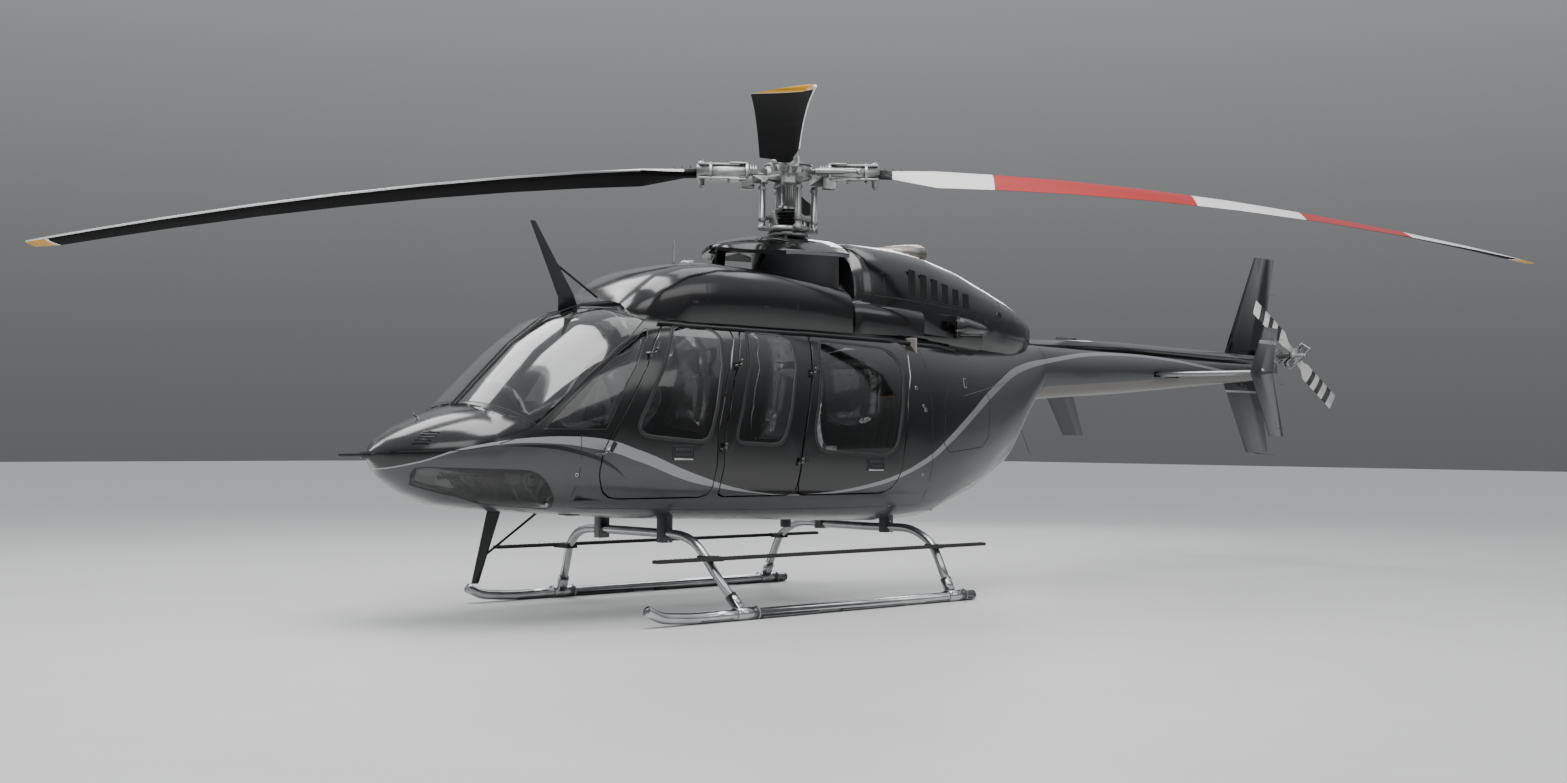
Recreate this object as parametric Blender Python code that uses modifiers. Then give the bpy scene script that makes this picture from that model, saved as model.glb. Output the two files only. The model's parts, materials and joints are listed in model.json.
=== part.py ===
# Light single-engine helicopter on skids, as an assembly of separate pieces.
# Stations run in metres: x aft from the main mast, y to starboard, z up from the ground.

import bpy
import bmesh
from math import cos, pi, radians, sin
from mathutils import Matrix, Vector

# Driving dimensions
MIDDLE_X = 1.5726       # station of the middle of the overall length, put at the frame's origin
FIT = 0.0003            # gap between pieces that touch
DOOR_GAP = 0.010        # gap all round a door
DOOR_SKIN = 0.008       # thickness of a door's rim outside its inner frame
DOOR_REBATE = 0.034     # distance from the opening's edge to the door's inner frame
WALL = 0.045            # cabin wall and door thickness
SKIN = 0.022            # nose and cowl thickness
GLASS = 0.007
PANE_DEPTH = 0.002      # how far a pane's outer face lies under the body's
CENTRE_POST = 0.03      # half width of the post between the windscreens
SIDE_CUT = 0.30         # distance from the middle where the side cutters start
AFT_WALL = 0.035        # wall of the baggage space and its bulkhead
FLOOR_Z = 0.745
NOSE_SPLIT_X = -2.20
BULKHEAD_X = 0.86
RING_HALF = 11          # steps from keel to crown on one side of a body ring
ARCH_STEPS = 10
OVAL_SIDES = 18
CORNER = 0.07           # reach of a rounded corner of a door or a pane
NEARLY_STRAIGHT = radians(16)
BOOM_WALL = 0.018

ROTOR_RADIUS = 5.335
ROTOR_HUB_Z = 3.048
ROTOR_CHORD = 0.273
GRIP_END = 0.66
LINK = (0.19, 0.07)     # place of a pitch link along and across its blade
MAST_X = 0.070
MAST_FOOT_Z = 2.303
MAST_RADIUS = 0.052
MAST_HOLE = 0.13

# Main blades: name, azimuth, droop at the tip, its power along the span, pitch at 1 m and at the tip
MAIN_BLADES = (
    ("main_blade_1", 47.8, 0.606, 1.7, 18.0, 8.0),
    ("main_blade_2", 140.8, 0.580, 1.7, 18.0, 5.0),
    ("main_blade_3", 227.8, 0.500, 1.7, 14.0, 6.0),
    ("main_blade_4", 317.6, 0.606, 2.0, 34.0, 9.0),
)
# Main blade sections: radius, chord, thickness
MAIN_SECTIONS = (
    (GRIP_END + FIT, 0.120, 0.060), (0.75, 0.120, 0.052), (1.06, ROTOR_CHORD, 0.034),
    (1.50, ROTOR_CHORD, 0.030), (2.00, ROTOR_CHORD, 0.030), (2.60, ROTOR_CHORD, 0.030),
    (3.20, ROTOR_CHORD, 0.030), (3.80, ROTOR_CHORD, 0.030), (4.40, ROTOR_CHORD, 0.029),
    (4.90, ROTOR_CHORD, 0.028), (5.17, ROTOR_CHORD, 0.026), (ROTOR_RADIUS, 0.200, 0.020),
)

TAIL_HUB = Vector((6.511, -0.274, 1.967))
TAIL_RADIUS = 0.825
TAIL_CHORD = 0.155
TAIL_REST = 28.8

SKID_Y = 0.985
SKID_RADIUS = 0.034
SKID_Z = SKID_RADIUS + 0.002
CROSS_RADIUS = 0.030
STEP_Y = (0.845, 0.905)
STEP_Z = (0.370, 0.390)

# Half routes of the cross tubes from the skid to the belly, as (x, distance from the middle, z)
CROSS_PATHS = {
    "front": ((-1.205, 0.945, 0.085), (-1.270, 0.790, 0.290), (-1.294, 0.740, 0.380),
              (-1.305, 0.630, 0.480), (-1.310, 0.500, 0.512), (-1.310, 0.250, 0.515)),
    "aft": ((0.753, 0.955, 0.090), (0.753, 0.850, 0.300), (0.753, 0.800, 0.387),
            (0.753, 0.710, 0.445), (0.753, 0.600, 0.487), (0.753, 0.500, 0.497), (0.753, 0.250, 0.490)),
}

STABILISER_X = 4.350
STABILISER_Y = 1.134
STABILISER_Z = 1.725
ENDPLATE_X = 4.331
ENDPLATE_TOE = 5.5

# Body rings: station, half width, keel z, waist z, crown z, roundness below and above the waist
BODY_RINGS = (
    (-3.250, 0.030, 0.990, 1.020, 1.045, 2.0, 2.0),
    (-3.180, 0.160, 0.895, 1.030, 1.115, 2.0, 2.0),
    (-3.050, 0.290, 0.800, 1.040, 1.190, 2.1, 2.1),
    (-2.880, 0.410, 0.725, 1.050, 1.262, 2.3, 2.1),
    (-2.690, 0.515, 0.690, 1.060, 1.328, 2.5, 2.2),
    (-2.500, 0.590, 0.675, 1.070, 1.515, 2.7, 2.3),
    (-2.290, 0.645, 0.660, 1.080, 1.716, 2.8, 2.4),
    (-2.050, 0.685, 0.645, 1.090, 1.890, 2.9, 2.6),
    (-1.800, 0.710, 0.630, 1.090, 1.975, 3.0, 2.9),
    (-1.450, 0.720, 0.600, 1.090, 2.000, 3.0, 3.0),
    (-0.200, 0.720, 0.560, 1.080, 2.000, 3.0, 3.0),
    (0.620, 0.720, 0.530, 1.080, 1.980, 3.0, 3.0),
    (1.130, 0.680, 0.545, 1.120, 1.950, 2.8, 3.0),
    (1.730, 0.530, 0.700, 1.250, 1.930, 2.5, 2.6),
    (2.240, 0.380, 0.900, 1.420, 1.930, 2.2, 2.2),
    (2.510, 0.300, 1.220, 1.550, 1.930, 2.0, 2.0),
    (2.740, 0.235, 1.466, 1.700, 1.935, 2.0, 2.0),
)
BOOM_RINGS = (
    (2.740, 0.235, 1.466, 1.700, 1.935, 2.0, 2.0),
    (3.990, 0.190, 1.545, 1.735, 1.925, 2.0, 2.0),
    (5.530, 0.122, 1.668, 1.787, 1.905, 2.0, 2.0),
    (6.330, 0.085, 1.735, 1.820, 1.905, 2.0, 2.0),
)
ROOF_RINGS = (
    (-1.640, 0.340, 1.700, 1.900, 2.015, 2.0, 3.0),
    (-1.560, 0.430, 1.700, 1.900, 2.110, 2.0, 3.5),
    (-1.430, 0.475, 1.700, 1.900, 2.205, 2.0, 4.0),
    (-1.230, 0.505, 1.700, 1.900, 2.275, 2.0, 4.5),
    (-0.980, 0.510, 1.700, 1.900, 2.310, 2.0, 4.5),
    (-0.450, 0.515, 1.700, 1.900, 2.290, 2.0, 5.0),
    (-0.100, 0.510, 1.700, 1.900, 2.262, 2.0, 5.0),
    (0.250, 0.495, 1.700, 1.900, 2.210, 2.0, 5.0),
)
COWL_RINGS = (
    (0.360, 0.405, 1.650, 2.000, 2.505, 2.0, 3.2),
    (0.395, 0.440, 1.650, 2.000, 2.548, 2.0, 3.2),
    (0.480, 0.455, 1.650, 2.000, 2.563, 2.0, 3.2),
    (0.916, 0.455, 1.650, 2.000, 2.561, 2.0, 3.2),
    (1.150, 0.448, 1.650, 2.000, 2.548, 2.0, 3.0),
    (1.586, 0.415, 1.650, 2.000, 2.462, 2.0, 2.8),
    (1.940, 0.365, 1.650, 2.000, 2.352, 2.0, 2.7),
    (2.244, 0.305, 1.650, 2.000, 2.258, 2.0, 2.6),
    (2.420, 0.262, 1.700, 2.000, 2.200, 2.0, 2.4),
    (2.560, 0.205, 1.750, 2.000, 2.130, 2.0, 2.2),
    (2.632, 0.150, 1.800, 1.985, 2.060, 2.0, 2.0),
    (2.672, 0.085, 1.850, 1.950, 1.990, 2.0, 2.0),
)
SIDE_PANEL_RINGS = (
    (0.300, 0.468, 1.700, 1.900, 2.145, 2.0, 6.0),
    (0.345, 0.490, 1.700, 1.900, 2.150, 2.0, 6.0),
    (1.173, 0.485, 1.700, 1.900, 2.100, 2.0, 6.0),
    (1.400, 0.472, 1.700, 1.900, 2.086, 2.0, 6.0),
    (1.720, 0.430, 1.700, 1.900, 2.038, 2.0, 6.0),
)
SCOOP_RINGS = (
    (1.320, 0.525, 1.870, 1.985, 2.100, 2.6, 2.8),
    (1.450, 0.521, 1.870, 1.985, 2.095, 2.6, 2.8),
    (1.690, 0.475, 1.880, 1.980, 2.075, 2.4, 2.4),
    (1.870, 0.375, 1.900, 1.975, 2.045, 2.2, 2.2),
)
# Crowned panels on the roof: station, half width, edge z, crown z
MAST_PLATE = (
    (-0.640, 0.070, 2.452, 2.468),
    (-0.600, 0.160, 2.440, 2.486),
    (-0.520, 0.240, 2.430, 2.512),
    (-0.386, 0.310, 2.430, 2.543),
    (-0.150, 0.350, 2.445, 2.568),
    (0.192, 0.362, 2.455, 2.574),
    (0.340, 0.362, 2.455, 2.574),
)
MAST_BODY = (
    (-0.205, 0.030, 2.553, 2.555),
    (-0.180, 0.105, 2.548, 2.556),
    (-0.110, 0.190, 2.529, 2.557),
    (0.000, 0.260, 2.496, 2.559),
    (0.120, 0.310, 2.466, 2.561),
    (0.250, 0.345, 2.456, 2.562),
)

# Side outlines as (x, z) corners
WINDSCREEN = (
    (-2.665, 1.340), (-2.465, 1.200), (-2.300, 1.345), (-2.122, 1.505), (-1.886, 1.690),
    (-1.600, 1.874), (-1.870, 1.968), (-1.950, 2.300), (-3.000, 2.300), (-2.900, 1.500),
)
QUARTER_WINDOW = (
    (-2.440, 1.178), (-2.035, 1.178), (-1.875, 1.465), (-1.700, 1.710), (-1.615, 1.815),
    (-1.640, 1.820), (-1.868, 1.675), (-2.105, 1.487), (-2.283, 1.327),
)
CHIN_WINDOW = (
    (-3.110, 0.955), (-2.500, 0.938), (-2.420, 0.895), (-2.335, 0.805), (-2.230, 0.690),
    (-2.230, 0.550), (-2.950, 0.550), (-3.070, 0.850),
)
CHIN_KEEL = ((-3.300, 0.105), (-3.074, 0.147), (-2.850, 0.278), (-2.150, 0.380))
CREW_DOOR = (
    (-1.462, 1.888), (-1.615, 1.740), (-2.062, 1.055), (-2.080, 0.930), (-2.050, 0.830),
    (-1.950, 0.750), (-1.190, 0.750), (-1.172, 1.190), (-1.080, 1.510), (-0.905, 1.872),
)
LITTER_DOOR = (
    (-0.855, 1.872), (-1.030, 1.510), (-1.122, 1.190), (-1.140, 0.750), (-0.452, 0.750),
    (-0.449, 1.005), (-0.384, 1.325), (-0.309, 1.610), (-0.271, 1.735), (-0.232, 1.868),
)
PASSENGER_DOOR = (
    (-0.234, 1.868), (-0.273, 1.735), (-0.311, 1.610), (-0.386, 1.325), (-0.451, 1.005),
    (-0.454, 0.750), (0.400, 0.750), (0.515, 0.830), (0.568, 1.150), (0.601, 1.413),
    (0.700, 1.725), (0.715, 1.800), (0.660, 1.850),
)
CREW_PANE = (
    (-1.426, 1.850), (-1.110, 1.843), (-1.060, 1.800), (-1.075, 1.730), (-1.235, 1.146),
    (-1.290, 1.102), (-1.766, 1.138), (-1.825, 1.200),
)
LITTER_PANE = (
    (-0.815, 1.845), (-0.500, 1.833), (-0.440, 1.790), (-0.434, 1.700), (-0.590, 1.135),
    (-0.655, 1.086), (-1.015, 1.098), (-1.025, 1.160),
)
PASSENGER_PANE = (
    (-0.186, 1.809), (0.430, 1.779), (0.545, 1.745), (0.594, 1.627), (0.480, 1.070),
    (0.370, 1.011), (-0.293, 1.048), (-0.335, 1.190),
)

# Hinge lines: a lower and an upper point, on the port side
CREW_HINGE = ((-2.055, -0.725, 1.054), (-1.650, -0.685, 1.681))
LITTER_HINGE = ((-1.128, -0.740, 1.089), (-0.975, -0.705, 1.630))
PASSENGER_HINGE = ((-0.458, -0.740, 0.991), (-0.317, -0.705, 1.600))
KNUCKLE = 0.028         # length of one hinge knuckle
KNUCKLE_RADIUS = 0.010


for old in list(bpy.data.objects):
    bpy.data.objects.remove(old, do_unlink=True)

scene = bpy.context.scene
parts = bpy.data.collections.new("helicopter")
cutters = bpy.data.collections.new("cutters")
scene.collection.children.link(parts)
scene.collection.children.link(cutters)


def material(name, color, roughness, metallic=0.0, alpha=1.0):
    made = bpy.data.materials.new(name)
    made.use_nodes = True
    shader = made.node_tree.nodes["Principled BSDF"]
    shader.inputs["Base Color"].default_value = (*color, 1.0)
    shader.inputs["Roughness"].default_value = roughness
    shader.inputs["Metallic"].default_value = metallic
    shader.inputs["Alpha"].default_value = alpha
    return made


BLACK_GLOSS = ((0.012, 0.012, 0.013), 0.12)
CHARCOAL = ((0.11, 0.11, 0.115), 0.25)
TINTED = ((0.05, 0.055, 0.06), 0.03)
BRIGHT = ((0.55, 0.56, 0.57), 0.28, 1.0)
STEEL = ((0.42, 0.42, 0.43), 0.35, 1.0)
TRIM = ((0.10, 0.10, 0.10), 0.6)
SEAT = ((0.30, 0.28, 0.25), 0.8)


def mesh_object(name, bm, look=None):
    """A named object in the parts collection, or a hidden cutter when it has no look."""
    bmesh.ops.recalc_face_normals(bm, faces=bm.faces)
    mesh = bpy.data.meshes.new(name)
    bm.to_mesh(mesh)
    bm.free()
    return placed(name, mesh, look)


def placed(name, mesh, look):
    made = bpy.data.objects.new(name, mesh)
    if look is None:
        cutters.objects.link(made)
        made.hide_render = True
        made.display_type = "WIRE"
    else:
        parts.objects.link(made)
        mesh.materials.clear()
        mesh.materials.append(material(name, *look))
    return made


def baked(obj):
    """The object's mesh with its modifiers or curve settings applied, in world space."""
    bpy.context.view_layer.update()
    graph = bpy.context.evaluated_depsgraph_get()
    mesh = bpy.data.meshes.new_from_object(obj.evaluated_get(graph), depsgraph=graph)
    mesh.transform(obj.matrix_world)
    return mesh


def combine(obj, other, operation="DIFFERENCE", keep=False):
    """Apply an exact Boolean of two mesh objects to the first."""
    step = obj.modifiers.new(operation.lower(), "BOOLEAN")
    step.operation = operation
    step.solver = "EXACT"
    step.object = other
    mesh = baked(obj)
    obj.modifiers.clear()
    old = obj.data
    obj.data = mesh
    obj.matrix_world = Matrix()
    mesh.materials.clear()
    for slot in old.materials:
        mesh.materials.append(slot)
    if not keep:
        bpy.data.objects.remove(other, do_unlink=True)
    return obj


def joined(first, *others):
    for other in others:
        combine(first, other, "UNION")
    return first


def half_ring(row, inset):
    """Points from keel to crown on the starboard side of one body ring."""
    x, width, low, waist, high, round_low, round_high = row
    points = []
    for step in range(RING_HALF + 1):
        angle = -pi / 2 + pi * step / RING_HALF
        power, reach = (round_low, waist - low) if angle < 0 else (round_high, high - waist)
        side = max(width - inset, 0.004) * abs(cos(angle)) ** (2 / power)
        rise = max(reach - inset, 0.004) * abs(sin(angle)) ** (2 / power)
        points.append(Vector((x, side, waist + (rise if angle >= 0 else -rise))))
    points[0].y = points[-1].y = 0.0
    return points


def loft(name, rows, inset=0.0, ends=(0.0, 0.0), lowest=None, look=None):
    """A closed body through the rings; ends moves the first and last ring along x."""
    bm = bmesh.new()
    rings = []
    for number, row in enumerate(rows):
        half = half_ring(row, inset)
        shift = ends[0] if number == 0 else ends[1] if number == len(rows) - 1 else 0.0
        ring = half + [Vector((p.x, -p.y, p.z)) for p in reversed(half[1:-1])]
        for p in ring:
            p.x += shift
            if lowest is not None:
                p.z = max(p.z, lowest)
        rings.append([bm.verts.new(p) for p in ring])
    for near, far in zip(rings, rings[1:]):
        for i in range(len(near)):
            j = (i + 1) % len(near)
            if i < RING_HALF:
                bm.faces.new((near[i], near[j], far[j]))
                bm.faces.new((near[i], far[j], far[i]))
            else:
                bm.faces.new((near[i], near[j], far[i]))
                bm.faces.new((near[j], far[j], far[i]))
    bm.faces.new(rings[0])
    bm.faces.new(rings[-1])
    return mesh_object(name, bm, look)


def skinned(name, rings, look=None):
    """A closed solid through rings of points that all have the same count."""
    bm = bmesh.new()
    loops = [[bm.verts.new(p) for p in ring] for ring in rings]
    for near, far in zip(loops, loops[1:]):
        for i in range(len(near)):
            j = (i + 1) % len(near)
            bm.faces.new((near[i], near[j], far[j], far[i]))
    bm.faces.new(loops[0])
    bm.faces.new(loops[-1])
    return mesh_object(name, bm, look)


def arched(name, rows, thickness, look=None):
    """A crowned panel through rows of station, half width, edge height and crown height."""
    rings = []
    for x, width, edge, crown in rows:
        upper = []
        for step in range(ARCH_STEPS + 1):
            share = 2 * step / ARCH_STEPS - 1
            upper.append(Vector((x, width * share, crown - (crown - edge) * abs(share) ** 2.5)))
        rings.append(upper + [p - Vector((0, 0, thickness)) for p in reversed(upper)])
    return skinned(name, rings, look)


def oval(x, z, high, wide):
    """Points of an upright oval across the body."""
    angles = [2 * pi * k / OVAL_SIDES for k in range(OVAL_SIDES)]
    return [(x, wide * cos(a), z + high * sin(a)) for a in angles]


def shrunk(outline, by):
    """The outline with every edge moved inwards."""
    count = len(outline)
    area = sum(outline[i][0] * outline[(i + 1) % count][1] - outline[(i + 1) % count][0] * outline[i][1]
               for i in range(count))
    turn = 1.0 if area > 0 else -1.0
    moved = []
    for i in range(count):
        a, b, c = (Vector(outline[k % count]) for k in (i - 1, i, i + 1))
        before, after = (b - a).normalized(), (c - b).normalized()
        n1 = Vector((-before.y, before.x)) * turn
        n2 = Vector((-after.y, after.x)) * turn
        share = 1.0 + n1.dot(n2)
        moved.append(b + (n1 + n2) * by / max(share, 0.3))
    return [(p.x, p.y) for p in moved]


def rounded(outline, reach=CORNER, steps=2):
    """The outline with its corners rounded over a reach, or over less where an edge is short."""
    count = len(outline)
    points = []
    for i in range(count):
        a, b, c = (Vector(outline[k % count]) for k in (i - 1, i, i + 1))
        if (b - a).angle(c - b) < NEARLY_STRAIGHT:
            points.append(b)
            continue
        start = b + (a - b).normalized() * min(reach, (a - b).length * 0.45)
        end = b + (c - b).normalized() * min(reach, (c - b).length * 0.45)
        for k in range(steps + 1):
            t = k / steps
            points.append(start * (1 - t) ** 2 + b * 2 * t * (1 - t) + end * t ** 2)
    return [(p.x, p.y) for p in points]


def prism(name, outline, start, end, look=None, plane="xz"):
    """A straight solid over an outline: along y for a side outline, along z for a plan."""
    bm = bmesh.new()
    loops = []
    for level in (start, end):
        if plane == "xz":
            loops.append([bm.verts.new((u, level, v)) for u, v in outline])
        else:
            loops.append([bm.verts.new((u, v, level)) for u, v in outline])
    count = len(outline)
    for i in range(count):
        j = (i + 1) % count
        bm.faces.new((loops[0][i], loops[0][j], loops[1][j], loops[1][i]))
    bm.faces.new(loops[0])
    bm.faces.new(loops[1])
    return mesh_object(name, bm, look)


def box(name, low, high, look=None):
    bm = bmesh.new()
    size = Vector(high) - Vector(low)
    middle = (Vector(high) + Vector(low)) / 2
    bmesh.ops.create_cube(bm, size=1.0, matrix=Matrix.Translation(middle) @ Matrix.Diagonal((*size, 1.0)))
    return mesh_object(name, bm, look)


def span_box(name, along, across, heights, side, look=None):
    """A box on one side of the body, with across measured outwards from the middle."""
    y0, y1 = sorted((across[0] * side, across[1] * side))
    return box(name, (along[0], y0, heights[0]), (along[1], y1, heights[1]), look)


def rounded_box(name, low, high, radius, look=None, segments=1):
    made = box(name, low, high, look)
    edge = made.modifiers.new("round", "BEVEL")
    edge.width = radius
    edge.segments = segments
    made.data = baked(made)
    made.modifiers.clear()
    return made


def cylinder(name, start, end, radius, look=None, sides=16, tip=None):
    """A round bar or cone between two points."""
    start, end = Vector(start), Vector(end)
    along = end - start
    turn = Vector((0, 0, 1)).rotation_difference(along).to_matrix().to_4x4()
    bm = bmesh.new()
    bmesh.ops.create_cone(
        bm, cap_ends=True, segments=sides, radius1=radius,
        radius2=radius if tip is None else tip, depth=along.length,
        matrix=Matrix.Translation((start + end) / 2) @ turn,
    )
    return mesh_object(name, bm, look)


def tube(name, points, radius, look=None, sides=3):
    """A bent bar along points, as a curve turned into a welded mesh."""
    data = bpy.data.curves.new(name, "CURVE")
    data.dimensions = "3D"
    data.bevel_depth = radius
    data.bevel_resolution = sides
    data.use_fill_caps = True
    spline = data.splines.new("POLY")
    spline.points.add(len(points) - 1)
    for point, place in zip(spline.points, points):
        point.co = (*place, 1.0)
    guide = bpy.data.objects.new(name + "_guide", data)
    cutters.objects.link(guide)
    mesh = baked(guide)
    bpy.data.objects.remove(guide, do_unlink=True)
    bm = bmesh.new()
    bm.from_mesh(mesh)
    bmesh.ops.remove_doubles(bm, verts=bm.verts, dist=0.0001)
    return mesh_object(name, bm, look)


def bend(corners, radius, steps=4):
    """Corners joined by straight runs and round bends."""
    corners = [Vector(c) for c in corners]
    points = [corners[0]]
    for a, b, c in zip(corners, corners[1:], corners[2:]):
        reach = min(radius, (a - b).length * 0.45, (c - b).length * 0.45)
        start, end = b + (a - b).normalized() * reach, b + (c - b).normalized() * reach
        for k in range(steps + 1):
            t = k / steps
            points.append(start * (1 - t) ** 2 + b * 2 * t * (1 - t) + end * t ** 2)
    points.append(corners[-1])
    return points


# Body panels

def shell(name, outline, thickness, low_y, high_y, look, inset=0.0, rows=BODY_RINGS, lowest=None):
    """The part of the body's wall inside a side outline, from low_y to high_y."""
    wall = loft(name, rows, inset, look=look)
    inner = loft(name + "_inside", rows, inset + thickness, ends=(0.02, -0.02) if inset == 0 else (0, 0),
                 lowest=lowest)
    combine(wall, prism(name + "_outline", outline, low_y, high_y), "INTERSECT")
    return combine(wall, inner)


def chin_cutter(side, gap):
    """The block that takes out one chin window, on side -1 for port."""
    cutter = prism("chin", rounded(shrunk(CHIN_WINDOW, gap)), 0.05 * side, 1.0 * side)
    plan = [(x, side * (y + gap)) for x, y in CHIN_KEEL] + [(-2.15, side * 1.2), (-3.3, side * 1.2)]
    return combine(cutter, prism("chin_plan", plan, 0.4, 1.2, plane="xy"), "INTERSECT")


def build_nose():
    low, high = (-3.4, 0.4), (NOSE_SPLIT_X - FIT, 1.160)
    outline = (low, (high[0], low[1]), high, (-2.478, high[1]), (-2.672, 1.312), (-2.73, 1.6), (-3.4, 1.6))
    nose = shell("nose_shell", outline, SKIN, -1.0, 1.0, BLACK_GLOSS, rows=BODY_RINGS[:9])
    for side, name in ((-1, "chin_window_left"), (1, "chin_window_right")):
        combine(nose, chin_cutter(side, 0.0))
        pane = loft(name, BODY_RINGS[:9], PANE_DEPTH, look=TINTED)
        combine(pane, chin_cutter(side, FIT), "INTERSECT")
        combine(pane, loft("inside", BODY_RINGS[:9], PANE_DEPTH + GLASS))
    pitot = joined(
        cylinder("pitot", (-3.44, 0, 1.018), (-3.22, 0, 1.020), 0.011, sides=10),
        cylinder("pitot_boss", (-3.30, 0, 1.019), (-3.20, 0, 1.020), 0.022, sides=10),
    )
    joined(nose, pitot)


def build_cabin():
    outline = (
        (NOSE_SPLIT_X, FLOOR_Z + FIT), (BULKHEAD_X, FLOOR_Z + FIT), (BULKHEAD_X, 2.3), (-3.0, 2.3),
        (-2.73, 1.60), (-2.672, 1.3125), (-2.478, 1.1605), (NOSE_SPLIT_X, 1.1605),
    )
    frame = shell("cabin_frame", outline, WALL, -1.0, 1.0, BLACK_GLOSS)
    for side in (-1, 1):
        combine(frame, prism("opening", WINDSCREEN, CENTRE_POST * side, side * 1.0))
        for hole in (QUARTER_WINDOW, rounded(CREW_DOOR), rounded(PASSENGER_DOOR)):
            combine(frame, prism("opening", hole, SIDE_CUT * side, side * 1.0))
    combine(frame, prism("opening", rounded(LITTER_DOOR), -1.0, -SIDE_CUT))
    combine(frame, prism("opening", rounded(LITTER_PANE), SIDE_CUT, 1.0))
    for side, line in ((-1, CREW_HINGE), (1, CREW_HINGE), (-1, LITTER_HINGE), (1, PASSENGER_HINGE)):
        joined(frame, *hinge_knuckles(line, side, -0.035, -KNUCKLE - FIT))
    floor = loft("cabin_floor", BODY_RINGS, look=CHARCOAL)
    combine(floor, box("below", (NOSE_SPLIT_X, -1, 0.3), (BULKHEAD_X, 1, FLOOR_Z)), "INTERSECT")

    for side, end in ((-1, "left"), (1, "right")):
        for name, outline, start in (
            ("windscreen", WINDSCREEN, CENTRE_POST + FIT),
            ("quarter_window", QUARTER_WINDOW, SIDE_CUT),
        ):
            pane = loft(f"{name}_{end}", BODY_RINGS, PANE_DEPTH, look=TINTED)
            combine(pane, prism("pane", shrunk(outline, FIT), start * side, side), "INTERSECT")
            combine(pane, loft("inside", BODY_RINGS, PANE_DEPTH + GLASS))
    pane = loft("middle_window_right", BODY_RINGS, PANE_DEPTH, look=TINTED)
    combine(pane, prism("pane", rounded(shrunk(LITTER_PANE, FIT)), SIDE_CUT, 1.0), "INTERSECT")
    combine(pane, loft("inside", BODY_RINGS, PANE_DEPTH + GLASS))


def hinge_ends(line, side):
    """The hinge line's lower and upper point on one side of the body."""
    return [Vector((x, -side * y, z)) for x, y, z in line]


def hinge_knuckles(line, side, reach, offset):
    """Two knuckles on a hinge line, each on an arm that runs into the wall; offset slides them along it."""
    made = []
    low, high = hinge_ends(line, side)
    along = (high - low).normalized()
    for place in (low + along * offset, high + along * offset):
        half = along * KNUCKLE / 2
        made.append(cylinder("knuckle", place - half, place + half, KNUCKLE_RADIUS, sides=10))
        arm = Vector((place.x + reach, place.y - side * 0.062, place.z))
        made.append(tube("arm", (place, arm), 0.008, sides=1))
    return made


def build_door(name, outline, pane_outline, line, side, look, carries=None):
    door = shell(name, rounded(shrunk(outline, DOOR_GAP)), WALL, *sorted((SIDE_CUT * side, side)), look)
    rebate = loft("rebate", BODY_RINGS, DOOR_SKIN)
    combine(rebate, prism("inner_frame", rounded(shrunk(outline, DOOR_REBATE)), 0.2 * side, 1.1 * side))
    combine(door, rebate)
    combine(door, prism("pane_hole", rounded(pane_outline), SIDE_CUT * side, side))
    glass = loft(name.replace("door", "pane"), BODY_RINGS, PANE_DEPTH, look=TINTED)
    combine(glass, prism("pane", rounded(shrunk(pane_outline, FIT)), SIDE_CUT * side, side), "INTERSECT")
    combine(glass, loft("inside", BODY_RINGS, PANE_DEPTH + GLASS))
    joined(door, *hinge_knuckles(line, side, 0.045, 0.0))
    if carries:
        joined(door, *hinge_knuckles(carries, side, -0.035, -KNUCKLE - FIT))
    low, high = hinge_ends(line, side)
    pivot = bpy.data.objects.new(name + "_axis", None)
    parts.objects.link(pivot)
    pivot.location = low
    pivot.rotation_mode = "QUATERNION"
    pivot.rotation_quaternion = (high - low).to_track_quat("Z", "Y")
    bpy.context.view_layer.update()
    for piece in (door, glass):
        piece.data.transform(pivot.matrix_world.inverted())
        piece.parent = pivot


def build_doors():
    for side, end in ((-1, "left"), (1, "right")):
        build_door(f"crew_door_{end}", CREW_DOOR, CREW_PANE, CREW_HINGE, side, BLACK_GLOSS)
        build_door(f"passenger_door_{end}", PASSENGER_DOOR, PASSENGER_PANE, PASSENGER_HINGE, side,
                   BLACK_GLOSS)
    build_door("litter_door", LITTER_DOOR, LITTER_PANE, LITTER_HINGE, -1, BLACK_GLOSS, PASSENGER_HINGE)


def build_aft():
    aft = loft("aft_fuselage", BODY_RINGS, look=CHARCOAL)
    combine(aft, box("behind", (BULKHEAD_X + FIT, -1, 0.3), (3, 1, 2.3)), "INTERSECT")
    hollow = loft("baggage_space", BODY_RINGS, AFT_WALL)
    combine(hollow, box("room", (BULKHEAD_X + AFT_WALL, -1, 0.3), (2.60, 1, 2.3)), "INTERSECT")
    combine(aft, hollow)
    combine(aft, box("deck_hatch", (1.80, -0.14, 1.60), (2.15, 0.14, 2.10)))
    whip = cylinder("whip", (2.62, 0, 1.36), (2.82, 0, 1.014), 0.006, sides=8, tip=0.004)
    joined(aft, whip)
    boom = loft("tail_boom", BOOM_RINGS, ends=(FIT, 0.0), look=BLACK_GLOSS)
    combine(boom, loft("boom_inside", BOOM_RINGS, BOOM_WALL, ends=(0.02, -0.03)))


def build_drive_cover():
    """The long hump over the tail rotor's drive shaft."""
    rings = []
    across, foot, shoulder = 0.075, 1.82, 0.05
    for x, top in ((2.74, 1.975), (3.99, 2.000), (5.64, 1.980), (6.30, 1.970)):
        section = ((-across, foot), (-across, top - shoulder), (-0.045, top - 0.012), (0, top),
                   (0.045, top - 0.012), (across, top - shoulder), (across, foot))
        rings.append([(x, y, z) for y, z in section])
    cover = skinned("drive_shaft_cover", rings, BLACK_GLOSS)
    combine(cover, loft("boom_seat", BOOM_RINGS, inset=-FIT, ends=(-0.01, 0.1)))


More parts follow.
